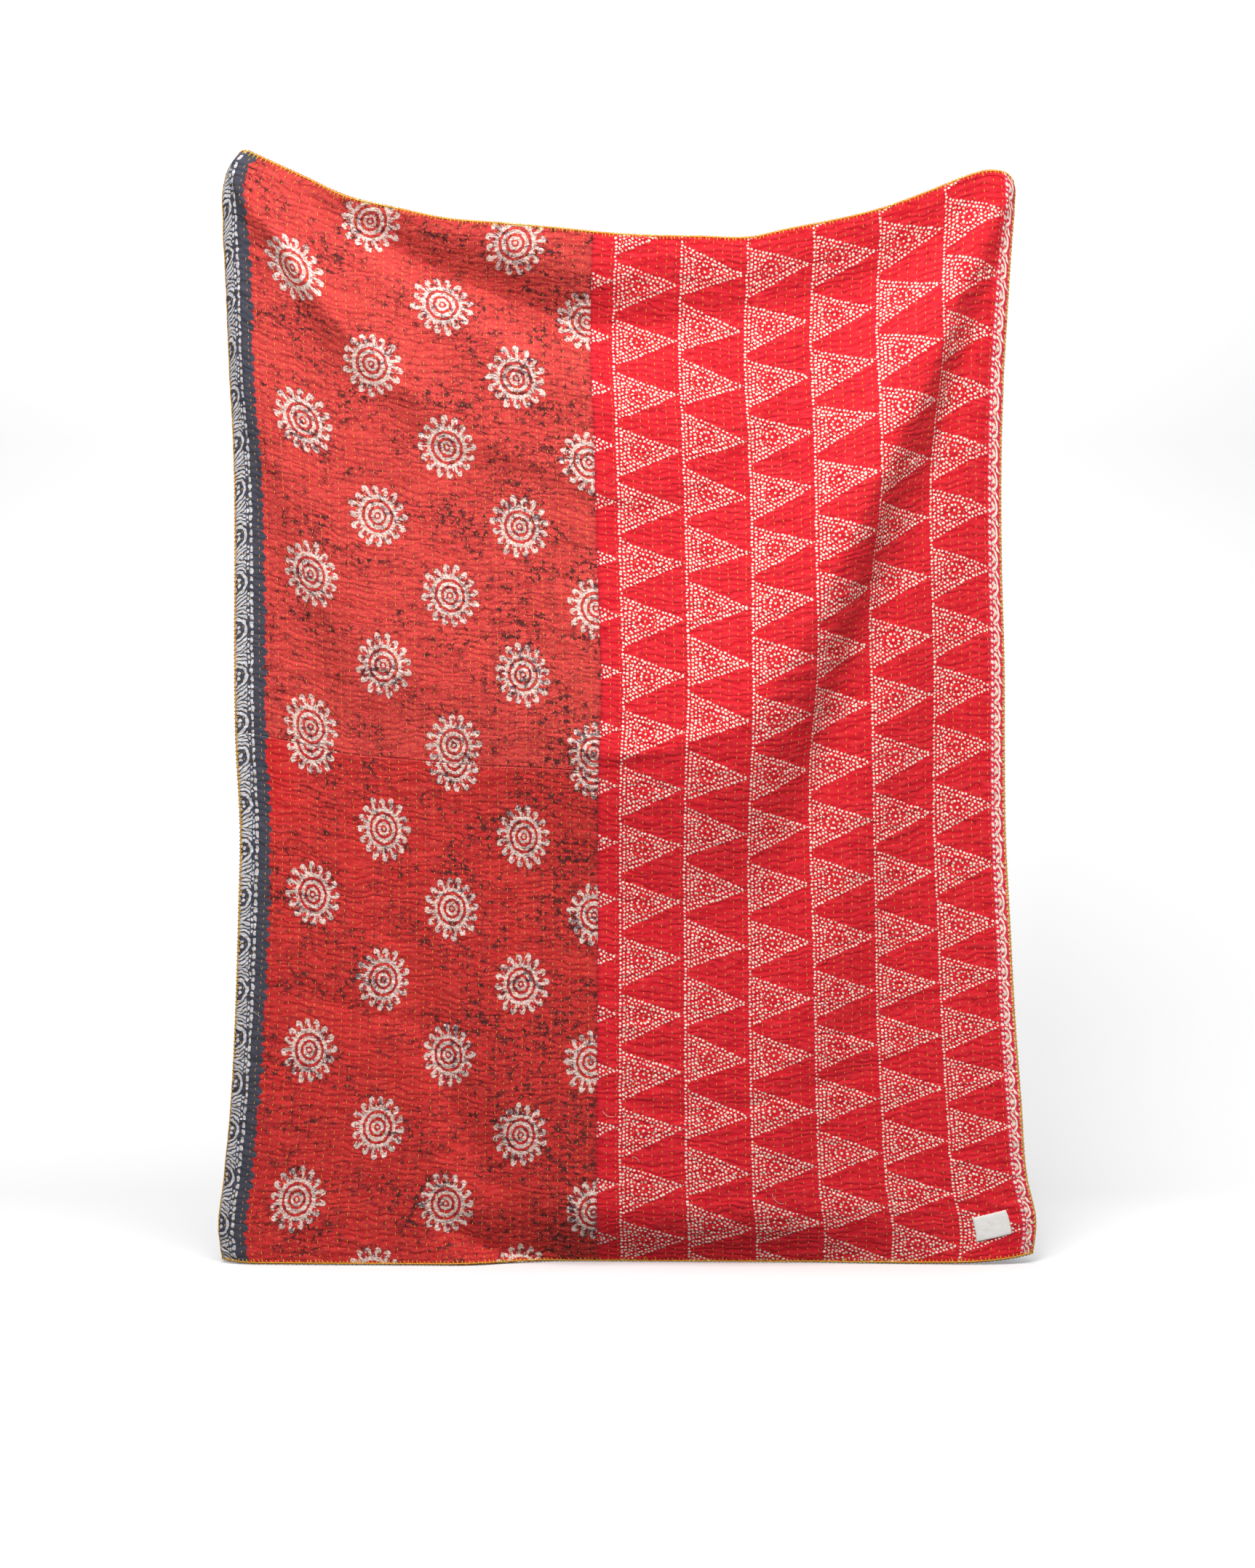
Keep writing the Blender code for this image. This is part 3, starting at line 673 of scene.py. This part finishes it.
def triangle_print(u, v):
    """Colour and relief of the triangle panel."""
    hand_u = u + cloud(u, v, 9, 9, 40) * 0.6
    column = ((hand_u - TRIANGLE_LINE + DOT_PITCH / 2) / TRIANGLE_PITCH_ACROSS).math("FLOOR")
    x = hand_u - TRIANGLE_LINE - column * TRIANGLE_PITCH_ACROSS
    squeeze = (column - SQUEEZE_COLUMN).positive() * SQUEEZE
    squeeze = squeeze * (v - SQUEEZE_DOWN).positive()
    lean = LEAN + column.math("GREATER_THAN", 0.5) * LEAN_MORE
    hand_v = v + squeeze - lean * (x - LEAN_AROUND) + cloud(u, v, 9, 9, 41) * 0.6
    down = hand_v - TRIANGLE_START - column * TRIANGLE_DRIFT
    down = down - column.math("LESS_THAN", 0.5) * FIRST_COLUMN_LOWER
    row = (down / TRIANGLE_PITCH_DOWN).math("FLOOR")
    y = down - row * TRIANGLE_PITCH_DOWN
    dots = dotted_triangle(x, y, column * 13 + row)
    line = dotted_side(x, hand_v + cloud(u, v, 30, 30, 45) * 3, column)
    dots = nearest(dots, common(line, abs(x) - DOT_PITCH / 2))
    e = WIDTH / MM - hand_u
    strip = inside(e - STRIP_WIDTH, 0.8)
    figures = inside(dots, 0.7) * (1 - strip) + inside(right_border(e, hand_v), 0.7) * strip
    star = stars(u + cloud(u, v, 9, 9, 43) * 4, v, 22, 9, 5)
    patch = (0.5 + cloud(u, v, 90, 70, 46, 2.0) * 0.8).clamped()
    fine = cracks(u, v, 8.0, 42, 0.06, star, 1.3)
    pillow = pillows(u, v)
    # pillow tops paler, as wear and a painted highlight, and painted shade between the pillows
    red = pillow_wear_highlight_and_shade(CRIMSON, pillow, CRIMSON_WORN_HIGHLIGHT, CRIMSON_GROOVE_SHADE)
    red = layer(red, CRIMSON_CRACK, inside(fine, 0.7) * (0.15 + patch * 0.55))
    red = layer(red, STRIP_ROSE, strip * 0.65)
    flecks = inside(net(u, v, 4.5, 3.6, 44) * 4 - 0.1, 0.5)
    colour = layer(red, DOT_CREAM, figures * (1 - 0.35 * flecks))
    return colour, cotton_relief(u, v, pillow)


# Quilted panels. Each is several layers of old cotton, faced with a print, stitched through in rows
# about 16 mm apart, and drawn up by the thread into soft ribs and fine puckers between the rows.
STEPS_TO_ROW, STEP_DOWN = 3, 0.003
STITCH_PITCH, EDGE_ROUND, PIT_DEPTH, PUCKER_HEIGHT = 0.0120, 0.006, 0.0006, 0.0013
ROW_WANDER, ROW_KEPT = 0.14, 0.02
LABEL_ACROSS, LABEL_DOWN, LABEL_TURN = 1.283, 1.742, np.radians(7)
LABEL_WIDTH, LABEL_HEIGHT = 0.058, 0.040
BACK_RED, BACK_DARK = (0.21, 0.022, 0.026, 1), (0.13, 0.012, 0.018, 1)
THREAD_YELLOW = (0.98, 0.58, 0.016, 1)


def between(grid, i, j, p, q):
    """Values of a grid from row i and column j on, shares p and q of the way to the next ones."""
    upper = grid[i, j] * (1 - q) + grid[i, j + 1] * q
    lower = grid[i + 1, j] * (1 - q) + grid[i + 1, j + 1] * q
    return upper * (1 - p) + lower * p


def speckle(across, down, size_across, size_down, seed):
    """Soft noise between -1 and 1: random values on a lattice, joined by a smooth step."""
    lattice = np.random.default_rng(seed).uniform(-1, 1, (512, 512))
    u, v = np.broadcast_arrays(across / size_across, down / size_down)
    i, j = np.floor(v).astype(int), np.floor(u).astype(int)
    p, q = v - i, u - j
    p, q = p * p * (3 - 2 * p), q * q * (3 - 2 * q)
    return between(lattice, i % 511, j % 511, p, q)


def row_wander(across, down):
    """How far a row of stitches strays to the side, in rows. It keeps straight near the edges."""
    free = np.clip(np.minimum(across, WIDTH - across) / ROW_KEPT, 0, 1)
    free = free * np.clip(np.abs(across - SUN_WIDTH) / ROW_KEPT, 0, 1)
    return ROW_WANDER * free * speckle(across, down, 0.05, 0.16, 11)


def row_place(across, down):
    """Place across in rows of stitching: a whole number on each row."""
    sun = across / SUN_WIDTH * SUN_ROWS
    triangle = SUN_ROWS + (across - SUN_WIDTH) / TRIANGLE_WIDTH * TRIANGLE_ROWS
    return np.where(across < SUN_WIDTH, sun, triangle) + row_wander(across, down)


def stitch_phase(row, down):
    """Place along a row, whole at the middle of a stitch. Rows start apart, and pitches drift."""
    start = np.random.default_rng(5).uniform(0, 1, 200)[np.rint(row).astype(int) % 200]
    return down / STITCH_PITCH + start + 0.5 * speckle(row * 1.0, down, 1.7, 0.07, 12)


def label_share(across, down):
    """1 under the label and 0 away from it, over a soft border."""
    x, y = across - LABEL_ACROSS, down - LABEL_DOWN
    along = x * np.cos(LABEL_TURN) - y * np.sin(LABEL_TURN)
    aside = x * np.sin(LABEL_TURN) + y * np.cos(LABEL_TURN)
    past = np.maximum(np.abs(along) - LABEL_WIDTH / 2, np.abs(aside) - LABEL_HEIGHT / 2)
    return np.clip(0.5 - past / 0.006, 0, 1)


def relief(across, down):
    """Height of the face over its lowest: ribs between rows, pits at stitches, and puckers."""
    row = row_place(across, down)
    from_row = np.abs(row - np.rint(row))
    rib = np.sin(np.pi * from_row) ** 1.1
    at_stitch = 0.5 + 0.5 * np.cos(2 * np.pi * stitch_phase(row, down))
    pit = np.exp(-((from_row / 0.24) ** 2))
    slant = down + 0.018 * speckle(across, down, 0.09, 0.14, 21)
    pucker = speckle(across, slant, 0.034, 0.0115, 22)
    pucker = pucker + 0.4 * speckle(across, slant, 0.014, 0.0080, 23)
    strength = 0.8 + 0.4 * speckle(across, down, 0.12, 0.12, 24)
    height = RIB * rib * (0.95 + 0.3 * speckle(across, down, 0.02, 0.012, 25))
    height = height - PIT_DEPTH * pit * (0.4 + at_stitch)
    height = height + PUCKER_HEIGHT * strength * pucker * (0.5 + 0.5 * rib)
    return height * (1 - 0.6 * label_share(across, down))


def panel_steps(start, end, rows):
    """Even steps across a panel, STEPS_TO_ROW between two rows of stitches."""
    return np.linspace(start, end, rows * STEPS_TO_ROW + 1)


def down_steps(start, end):
    """Steps of about STEP_DOWN, an even number of them."""
    count = 2 * int(round((end - start) / STEP_DOWN / 2))
    return np.linspace(start, end, count + 1)


def fan(front, back):
    """Triangles from an edge of the front to the same edge of the back, which has fewer points."""
    count = len(back) - 1
    share = (len(front) - 1) // count
    part = front[np.arange(count)[:, None] * share + np.arange(share + 1)]
    tip = np.where(np.arange(share) < share // 2, back[:-1, None], back[1:, None])
    sides = np.stack([part[:, :-1], part[:, 1:], tip], axis=-1)
    last = np.stack([part[:, share // 2], back[1:], back[:-1]], axis=-1)
    return np.concatenate([sides, last[:, None]], axis=1).reshape(-1, 3)


sun_across = panel_steps(0, SUN_WIDTH - SEAM_GAP / 2, SUN_ROWS)
triangle_across = panel_steps(SUN_WIDTH + SEAM_GAP / 2, WIDTH, TRIANGLE_ROWS)
all_across = np.concatenate([sun_across, triangle_across])
upper_down = down_steps(0, JOIN_DOWN - SEAM_GAP / 2)
lower_down = down_steps(JOIN_DOWN + SEAM_GAP / 2, LENGTH)
all_down = np.concatenate([upper_down, lower_down])
middle, normal = surface(all_across, all_down)
edge_near = np.minimum(
    np.minimum(all_across, WIDTH - all_across)[None, :],
    np.minimum(all_down, LENGTH - all_down)[:, None],
)
near = np.clip(edge_near / EDGE_ROUND, 0, 1)
thick = (0.25 + 0.75 * np.sqrt(1 - (1 - near) ** 2))[..., None]
raised = relief(all_across[None, :], all_down[:, None])[..., None]
face_grid = middle + normal * thick * (CORE / 2 + raised)
back_grid = middle - normal * thick * CORE / 2


def back_cloth(u, v):
    """Colour and relief of the back: plain dark red cotton with the same rows of stitches."""
    sun_pitch, triangle_pitch = SUN_WIDTH / MM / SUN_ROWS, TRIANGLE_WIDTH / MM / TRIANGLE_ROWS
    on_sun = u.math("LESS_THAN", SUN_WIDTH / MM)
    place = (u / sun_pitch) * on_sun
    place = place + ((u - SUN_WIDTH / MM) / triangle_pitch + SUN_ROWS) * (1 - on_sun)
    row, aside = repeat(place, 1)
    along = repeat(v + pick(row, row, 50.0) * 11, STITCH_PITCH / MM)[1]
    stitch = inside(pebble(aside * sun_pitch, along, 0.6, 2.2), 0.4)
    red = layer(BACK_RED, BACK_DARK, 0.5 + cloud(u, v, 60, 45, 51, 3.0) * 0.5)
    groove = 1 - abs(aside) * 2
    pillow = pillows(u, v)
    height = cotton_relief(u, v, pillow) - (groove**4) * 0.9 + stitch * 0.5
    return layer(red, THREAD_YELLOW, stitch), height


printed_sun = cotton("faded sun print", sun_print)
printed_triangles = cotton("dotted triangle print", triangle_print)
plain_back = cotton("plain back cloth", back_cloth)


def lay_flat(thing, places):
    """Gives each point its place on the flat cloth, as the UV map that the prints read."""
    corners = np.zeros(len(thing.data.loops), dtype=np.int32)
    thing.data.loops.foreach_get("vertex_index", corners)
    flat_map = thing.data.uv_layers.new(name="flat cloth")
    flat_map.uv.foreach_set("vector", places[corners].astype(np.float32).reshape(-1))


def panel(name, columns, rows, node, slot, front, flat):
    """A closed quilted sheet: the fine face, and a plainer back with a third of its columns."""
    across, down = all_across[columns], all_down[rows]
    coarse = (slice(None, None, 2), slice(None, None, STEPS_TO_ROW))
    face, back = face_grid[rows, columns], back_grid[rows, columns][coarse]
    f = np.arange(face.shape[0] * face.shape[1]).reshape(face.shape[:2])
    b = f.size + np.arange(back.shape[0] * back.shape[1]).reshape(back.shape[:2])
    faces = grid_faces(*face.shape[:2]).tolist()
    for edge, way in ((np.s_[0], 1), (np.s_[-1], -1), (np.s_[:, 0], -1), (np.s_[:, -1], 1)):
        faces += fan(f[edge], b[edge])[:, ::way].tolist()
    front_count = len(faces)
    faces += (grid_faces(*back.shape[:2])[:, ::-1] + f.size).tolist()
    thing = mesh_object(name, np.concatenate([face.reshape(-1, 3), back.reshape(-1, 3)]), faces)
    places = np.stack(np.meshgrid(across, down), axis=-1)
    lay_flat(thing, np.concatenate([places.reshape(-1, 2), places[coarse].reshape(-1, 2)]))
    thing.data.materials.append(front)
    thing.data.materials.append(plain_back)
    on_back = np.arange(len(faces)) >= front_count
    thing.data.polygons.foreach_set("material_index", on_back.astype(np.int32))
    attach(thing, "root")
    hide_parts(node)


sun_columns = slice(0, len(sun_across))
triangle_columns = slice(len(sun_across), len(all_across))
upper_rows, lower_rows = slice(0, len(upper_down)), slice(len(upper_down), len(all_down))
PANELS = (
    # piece, columns, rows, node, slot, front, flat size
    ("sun_cloth_top", sun_columns, upper_rows, "sun_panel_top", "sun_cloth", printed_sun,
     (SUN_WIDTH, JOIN_DOWN)),
    ("sun_cloth_bottom", sun_columns, lower_rows, "sun_panel_bottom", "sun_cloth", printed_sun,
     (SUN_WIDTH, LENGTH - JOIN_DOWN)),
    ("triangle_cloth", triangle_columns, slice(0, len(all_down)), "triangle_panel",
     "triangle_cloth", printed_triangles, (TRIANGLE_WIDTH, LENGTH)),
)
for piece in PANELS:
    panel(*piece)

# Running stitches. Doubled yellow cotton shows as short dashes on the face, each pulled a little
# into the cloth at both ends, row beside row over the whole throw.
STITCH_HALF, STITCH_RADIUS, STITCH_MARGIN = 0.0026, 0.00062, 0.006
STITCH_SLANT, STITCH_SUNK, STITCH_LIFT = 0.0004, 0.0004, 0.0005
THREAD_SIDES, PLY_PITCH, THREAD_AMBER = 4, 0.8, (0.78, 0.30, 0.008, 1)
ENDS, MIDDLE = np.array([-1, 0, 1]), np.array([0, 1, 0])
ROOM_PLACES = ("ShaderNodeTexCoord", {}, "Object", "Z")


def there(grid, across, down):
    """A value of a grid over the cloth, between its points."""
    i = np.clip(np.searchsorted(all_down, down) - 1, 0, len(all_down) - 2)
    j = np.clip(np.searchsorted(all_across, across) - 1, 0, len(all_across) - 2)
    p = ((down - all_down[i]) / (all_down[i + 1] - all_down[i]))[..., None]
    q = ((across - all_across[j]) / (all_across[j + 1] - all_across[j]))[..., None]
    return between(grid, i, j, p, q)


def on_face(across, down, lift):
    """Places on the printed face, raised by lift."""
    lift = np.broadcast_to(lift, across.shape)[..., None]
    return there(face_grid, across, down) + there(normal, across, down) * lift


def unit(vectors):
    """The same directions, 1 long."""
    return vectors / np.maximum(np.linalg.norm(vectors, axis=-1, keepdims=True), 1e-9)


def strands(paths, up, radii):
    """Points and faces of thin tubes along paths (strand, step, xyz), as thick as radii say."""
    along = unit(np.gradient(paths, axis=1))
    side = unit(np.cross(along, up))
    rise = np.cross(side, along)
    turn = np.arange(THREAD_SIDES) * 2 * np.pi / THREAD_SIDES
    round_it = side[:, :, None] * np.cos(turn)[:, None] + rise[:, :, None] * np.sin(turn)[:, None]
    count, steps = paths.shape[:2]
    points = paths[:, :, None] + round_it * np.broadcast_to(radii, (count, steps))[..., None, None]
    number = np.arange(count * steps * THREAD_SIDES).reshape(count, steps, THREAD_SIDES)
    after = np.roll(number, -1, axis=2)
    corners = (number[:, :-1], after[:, :-1], after[:, 1:], number[:, 1:])
    faces = np.stack([corner.reshape(-1) for corner in corners], axis=-1)
    return points.reshape(-1, 3), faces


def sewn(name, material, *groups):
    """A piece of sewing that moves with the throw, of groups of strands (paths, up, radii)."""
    points, faces, count = [], [], 0
    for group in groups:
        group_points, group_faces = strands(*group)
        points.append(group_points)
        faces += (group_faces + count).tolist()
        count += len(group_points)
    thing = mesh_object(name, np.concatenate(points), faces)
    thing.data.materials.append(material)
    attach(thing, "root")


def thread_material(name, colour, dark, size):
    """Twisted cotton: its colour and height vary along the thread."""

    def twisted(x, z):
        shade = layer(colour, dark, 0.5 + cloud(x, z, size, size, 60, 2.0) * 0.6)
        return shade, ((x + z) * (2 * np.pi / PLY_PITCH)).math("SINE") * 0.08

    return cotton(name, twisted, ROOM_PLACES, roughness=0.7, gloss=0.5, sheen=0.2)


yellow = thread_material("yellow cotton thread", THREAD_YELLOW, THREAD_AMBER, 9)
for name, start_row, rows, origin, width in (
    ("sun_running_stitches", 0, SUN_ROWS, 0, SUN_WIDTH),
    ("triangle_running_stitches", SUN_ROWS, TRIANGLE_ROWS, SUN_WIDTH, TRIANGLE_WIDTH),
):
    pitch = width / rows
    across, down = [], []
    fine_down = np.linspace(STITCH_MARGIN, LENGTH - STITCH_MARGIN, 900)
    for row in range(start_row + 1, start_row + rows):
        phase = stitch_phase(np.full(fine_down.shape, row), fine_down)
        at = np.interp(np.arange(np.ceil(phase[0]), phase[-1]), phase, fine_down)
        straight = np.full(at.shape, origin + (row - start_row) * pitch)
        across.append(straight - row_wander(straight, at) * pitch)
        down.append(at)
    across, down = np.concatenate(across), np.concatenate(down)
    chance = np.random.default_rng(31)
    kept = (chance.uniform(size=across.shape) > 0.03) & (label_share(across, down) < 0.1)
    across, down = across[kept], down[kept]
    half = STITCH_HALF * chance.uniform(0.75, 1.2, across.shape)[:, None] * ENDS
    lean = chance.normal(0, STITCH_SLANT, (2, len(across), 1))
    lift = np.where(MIDDLE, STITCH_LIFT, -STITCH_SUNK)
    paths = on_face(across[:, None] + lean[0] + lean[1] * ENDS, down[:, None] + half, lift)
    up = there(normal, across, down)[:, None]
    sewn(name, yellow, (paths, up, STITCH_RADIUS * np.array([0.45, 1.0, 0.45])))

# Overcast edge. The same yellow thread is wound over the edge in bites that reach about 6 mm into
# the cloth, and runs along its face from one bite to the next.
BITE_PITCH, BITE_LENGTH, BITE_RADIUS = 0.0066, 0.0064, 0.00105
BITE_SUNK, BITE_LIFT, BITE_PAST_EDGE, BITE_BEHIND = 0.0003, 0.0005, 0.0007, 0.0004
EDGE_RUN_IN, EDGE_RUN_WAVE, EDGE_RUN_RADIUS = 0.0014, 0.0010, 0.00090


def edge_places(inward, share):
    """Flat places along all four edges, a distance in from the edge, at shares of the way round."""
    corners = np.array([[0, 0], [WIDTH, 0], [WIDTH, LENGTH], [0, LENGTH], [0, 0]], dtype=float)
    lengths = np.array([WIDTH, LENGTH, WIDTH, LENGTH])
    starts = np.concatenate([[0], np.cumsum(lengths)]) / lengths.sum()
    across = np.interp(share, starts, corners[:, 0])
    down = np.interp(share, starts, corners[:, 1])
    edge = np.clip(np.searchsorted(starts, share, side="right") - 1, 0, 3)
    across = across + inward * np.array([0, -1, 0, 1])[edge]
    down = down + inward * np.array([1, 0, -1, 0])[edge]
    return np.clip(across, 0, WIDTH), np.clip(down, 0, LENGTH)


def over_edge(share, out):
    """Places just past the edge of the cloth, in the middle of its thickness."""
    at_edge = there(middle, *edge_places(np.zeros(share.shape), share))
    within = there(middle, *edge_places(np.full(share.shape, 0.003), share))
    return at_edge + unit(at_edge - within) * out


chance = np.random.default_rng(41)
round_length = 2 * (WIDTH + LENGTH)
bites = int(round_length / BITE_PITCH)
share = (np.arange(bites) + chance.uniform(-0.16, 0.16, bites) + 0.5) / bites
reach = BITE_LENGTH * chance.uniform(0.7, 1.3, bites)
slant = chance.normal(0.0006, 0.0005, bites) / round_length
front_in, front_top = (edge_places(reach * part, share + slant * part) for part in (1.0, 0.55))
back_in = edge_places(reach * 0.8, share - slant)
paths = np.stack(
    [
        on_face(*front_in, -BITE_SUNK),
        on_face(*front_top, BITE_LIFT),
        over_edge(share, BITE_PAST_EDGE),
        there(back_grid, *back_in) - there(normal, *back_in) * BITE_BEHIND,
    ],
    axis=1,
)
up = unit(paths - there(middle, *edge_places(reach * 0.5, share))[:, None])
run_share = np.linspace(0, 1, 2 * bites)
wave = 0.5 + 0.3 * np.sin(run_share * bites * 2 * np.pi)
run_path = on_face(*edge_places(EDGE_RUN_IN + EDGE_RUN_WAVE * wave, run_share), BITE_LIFT)
run_up = there(normal, *edge_places(0, run_share))[None]
sewn(
    "overcast_edge",
    yellow,
    (paths, up, BITE_RADIUS * np.array([0.6, 1.0, 1.0, 0.8])),
    (run_path[None], run_up, EDGE_RUN_RADIUS),
)

# Cross seam. The two sun panels are joined by machine with small pale stitches, which lie in one
# line just below the seam.
JOIN_STITCH_PITCH, JOIN_STITCH_HALF, JOIN_STITCH_RADIUS = 0.0034, 0.0009, 0.00023
JOIN_MARGIN, JOIN_BELOW, JOIN_WANDER = 0.004, 0.0022, 0.0005
PALE_THREAD, PALE_SHADE = (0.62, 0.44, 0.40, 1), (0.44, 0.24, 0.22, 1)

pale = thread_material("pale cotton thread", PALE_THREAD, PALE_SHADE, 5)
across = np.arange(JOIN_MARGIN, SUN_WIDTH - JOIN_MARGIN, JOIN_STITCH_PITCH)
wander = JOIN_WANDER * speckle(across, np.full(across.shape, 0.5), 0.06, 1, 42)
down = JOIN_DOWN + JOIN_BELOW + wander
lift = np.where(MIDDLE, 0.00035, -0.0001)
paths = on_face(across[:, None] + JOIN_STITCH_HALF * ENDS, down[:, None] + np.zeros(3), lift)
up = there(normal, across, down)[:, None]
sewn("cross_seam_stitches", pale, (paths, up, JOIN_STITCH_RADIUS * np.array([0.5, 1.0, 0.5])))

# Label. A small tab of washed cream cotton, bare and frayed, sewn on a little crooked near the
# lower right corner with fine stitches at both ends.
LABEL_LIFT, LABEL_THICK, LABEL_STEPS = 0.0021, 0.0006, (59, 41)
LABEL_CREAM, LABEL_YELLOWED = (1.0, 0.97, 0.94, 1), (0.95, 0.92, 0.88, 1)
LABEL_WEAVE, LABEL_WAVE, LABEL_EDGE_DROP, DROP_REACH = 0.55, 0.0003, 0.0007, 0.002
FRAY, HAIRS, HAIR_RADIUS, SEWING_RADIUS = 0.0013, 150, 0.00016, 0.00024
CREAM_THREAD, CREAM_SHADE = (0.86, 0.82, 0.74, 1), (0.70, 0.64, 0.54, 1)


def label_places(x, y):
    """Flat places of the label, from its own middle."""
    across = LABEL_ACROSS + x * np.cos(LABEL_TURN) + y * np.sin(LABEL_TURN)
    down = LABEL_DOWN + y * np.cos(LABEL_TURN) - x * np.sin(LABEL_TURN)
    return across, down


def label_point(x, y, lift):
    """A place over the cloth's middle surface, lower at the label's edges, with soft waves."""
    across, down = label_places(x, y)
    near = np.minimum(LABEL_WIDTH / 2 - np.abs(x), LABEL_HEIGHT / 2 - np.abs(y))
    drop = LABEL_EDGE_DROP * np.exp(-np.maximum(near, 0) / DROP_REACH)
    wave = LABEL_WAVE * speckle(x + 0.1, y + 0.1, 0.011, 0.009, 51)
    rise = (LABEL_LIFT + CORE / 2 + lift + wave - drop)[..., None]
    return there(middle, across, down) + there(normal, across, down) * rise


def label_cotton(u, v):
    """Colour and relief of the label: plain weave, a little yellowed."""
    turns = 2 * np.pi / LABEL_WEAVE
    weave = (u * turns).math("SINE") * (v * turns).math("SINE")
    cream = layer(LABEL_CREAM, LABEL_YELLOWED, 0.4 + cloud(u, v, 9, 9, 52) * 0.4)
    return cream, weave * 0.06 + cloud(u, v, 3, 3, 53) * 0.12


x, y = np.meshgrid(*(np.linspace(-0.5, 0.5, steps) for steps in LABEL_STEPS))
x = x * (LABEL_WIDTH + 0.0010 * speckle(y * 0.04, y * 0 + 0.3, 0.0016, 1, 54))
y = y * (LABEL_HEIGHT + 0.0008 * speckle(x, x * 0 + 0.3, 0.0016, 1, 55))
top, under = label_point(x, y, LABEL_THICK), label_point(x, y, 0.0)
f = np.arange(x.size).reshape(x.shape)
b = f + x.size
faces = grid_faces(*x.shape).tolist()
faces += (grid_faces(*x.shape)[:, ::-1] + x.size).tolist()
for edge in (np.s_[0], np.s_[-1, ::-1], np.s_[::-1, 0], np.s_[:, -1]):
    edge_f, edge_b = f[edge], b[edge]
    faces += np.stack([edge_f[:-1], edge_f[1:], edge_b[1:], edge_b[:-1]], axis=-1).tolist()
label_points = np.concatenate([top.reshape(-1, 3), under.reshape(-1, 3)])
label = mesh_object("label_cloth", label_points, faces)
lay_flat(label, np.tile(np.stack([x, y], axis=-1).reshape(-1, 2) + 0.1, (2, 1)))
label.data.materials.append(cotton("cream label cotton", label_cotton, roughness=0.9))
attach(label, "root")
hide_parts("label")

cream = thread_material("cream cotton thread", CREAM_THREAD, CREAM_SHADE, 4)
chance = np.random.default_rng(61)
side = chance.integers(0, 4, HAIRS)
place = chance.uniform(-0.48, 0.48, HAIRS)
hair_x = np.select([side == 0, side == 1], [0.5, -0.5], place) * LABEL_WIDTH
hair_y = np.select([side == 2, side == 3], [0.5, -0.5], place) * LABEL_HEIGHT
out_x = np.select([side == 0, side == 1], [1, -1], 0) + chance.normal(0, 0.35, HAIRS)
out_y = np.select([side == 2, side == 3], [1, -1], 0) + chance.normal(0, 0.35, HAIRS)
hair_up = there(normal, *label_places(hair_x, hair_y))[:, None]
far = FRAY * chance.uniform(0.3, 1.0, HAIRS)[:, None] * np.array([-0.6, 0.3, 1.0])
hair_x, hair_y = hair_x[:, None] + out_x[:, None] * far, hair_y[:, None] + out_y[:, None] * far
hairs = label_point(hair_x, hair_y, 0.0003)
sew_y = np.arange(-0.46, 0.47, 0.055) * LABEL_HEIGHT
sew_x = np.repeat([-0.466, 0.466], len(sew_y)) * LABEL_WIDTH
sew_y = np.tile(sew_y, 2)[:, None] + 0.0007 * ENDS
sew_lift = LABEL_THICK + np.where(MIDDLE, 0.0002, -0.0002)
sewing = label_point(sew_x[:, None] + np.zeros(3), sew_y, sew_lift)
sew_up = there(normal, *label_places(sew_x, sew_y[:, 1]))[:, None]
sewn(
    "label_fray",
    cream,
    (hairs, hair_up, HAIR_RADIUS * np.array([1.0, 0.9, 0.5])),
    (sewing, sew_up, SEWING_RADIUS),
)

# Loose thread tails. A few pale ends of the sewing hang free on the face, where a thread was
# started or cut.
TAILS = (
    # across, down, length, turn from straight down, bend
    (0.030, 1.170, 0.026, 0.2, 0.5), (0.010, 1.395, 0.042, 1.3, -0.5),
    (0.640, 1.525, 0.024, 1.2, 0.6), (0.690, 1.604, 0.018, 0.8, -0.8),
    (0.925, 1.668, 0.030, 0.9, 0.7), (0.950, 1.720, 0.022, 0.4, 0.9),
    (1.120, 1.700, 0.026, 1.2, -0.6),
)
TAIL_STEPS, TAIL_RADIUS, TAIL_MARGIN, TAIL_LIFT, TAIL_ARCH = 9, 0.00035, 0.002, 0.0005, 0.0018

paths, tail_up = [], []
for across, down, tail_length, turn, bend in TAILS:
    s = np.linspace(0, 1, TAIL_STEPS)
    heading = turn + bend * (s * 2.4 - 1.2)
    step = tail_length / (TAIL_STEPS - 1)
    x = across + np.concatenate([[0], np.cumsum(np.sin(heading[:-1]))]) * step
    y = down + np.concatenate([[0], np.cumsum(np.cos(heading[:-1]))]) * step
    x = np.clip(x, TAIL_MARGIN, WIDTH - TAIL_MARGIN)
    y = np.clip(y, TAIL_MARGIN, LENGTH - TAIL_MARGIN)
    paths.append(on_face(x, y, TAIL_LIFT + TAIL_ARCH * np.sin(np.pi * s)))
    tail_up.append(there(normal, x, y))
tail_radii = TAIL_RADIUS * np.linspace(1.0, 0.7, TAIL_STEPS)
sewn("loose_thread_tails", cream, (np.array(paths), np.array(tail_up), tail_radii))
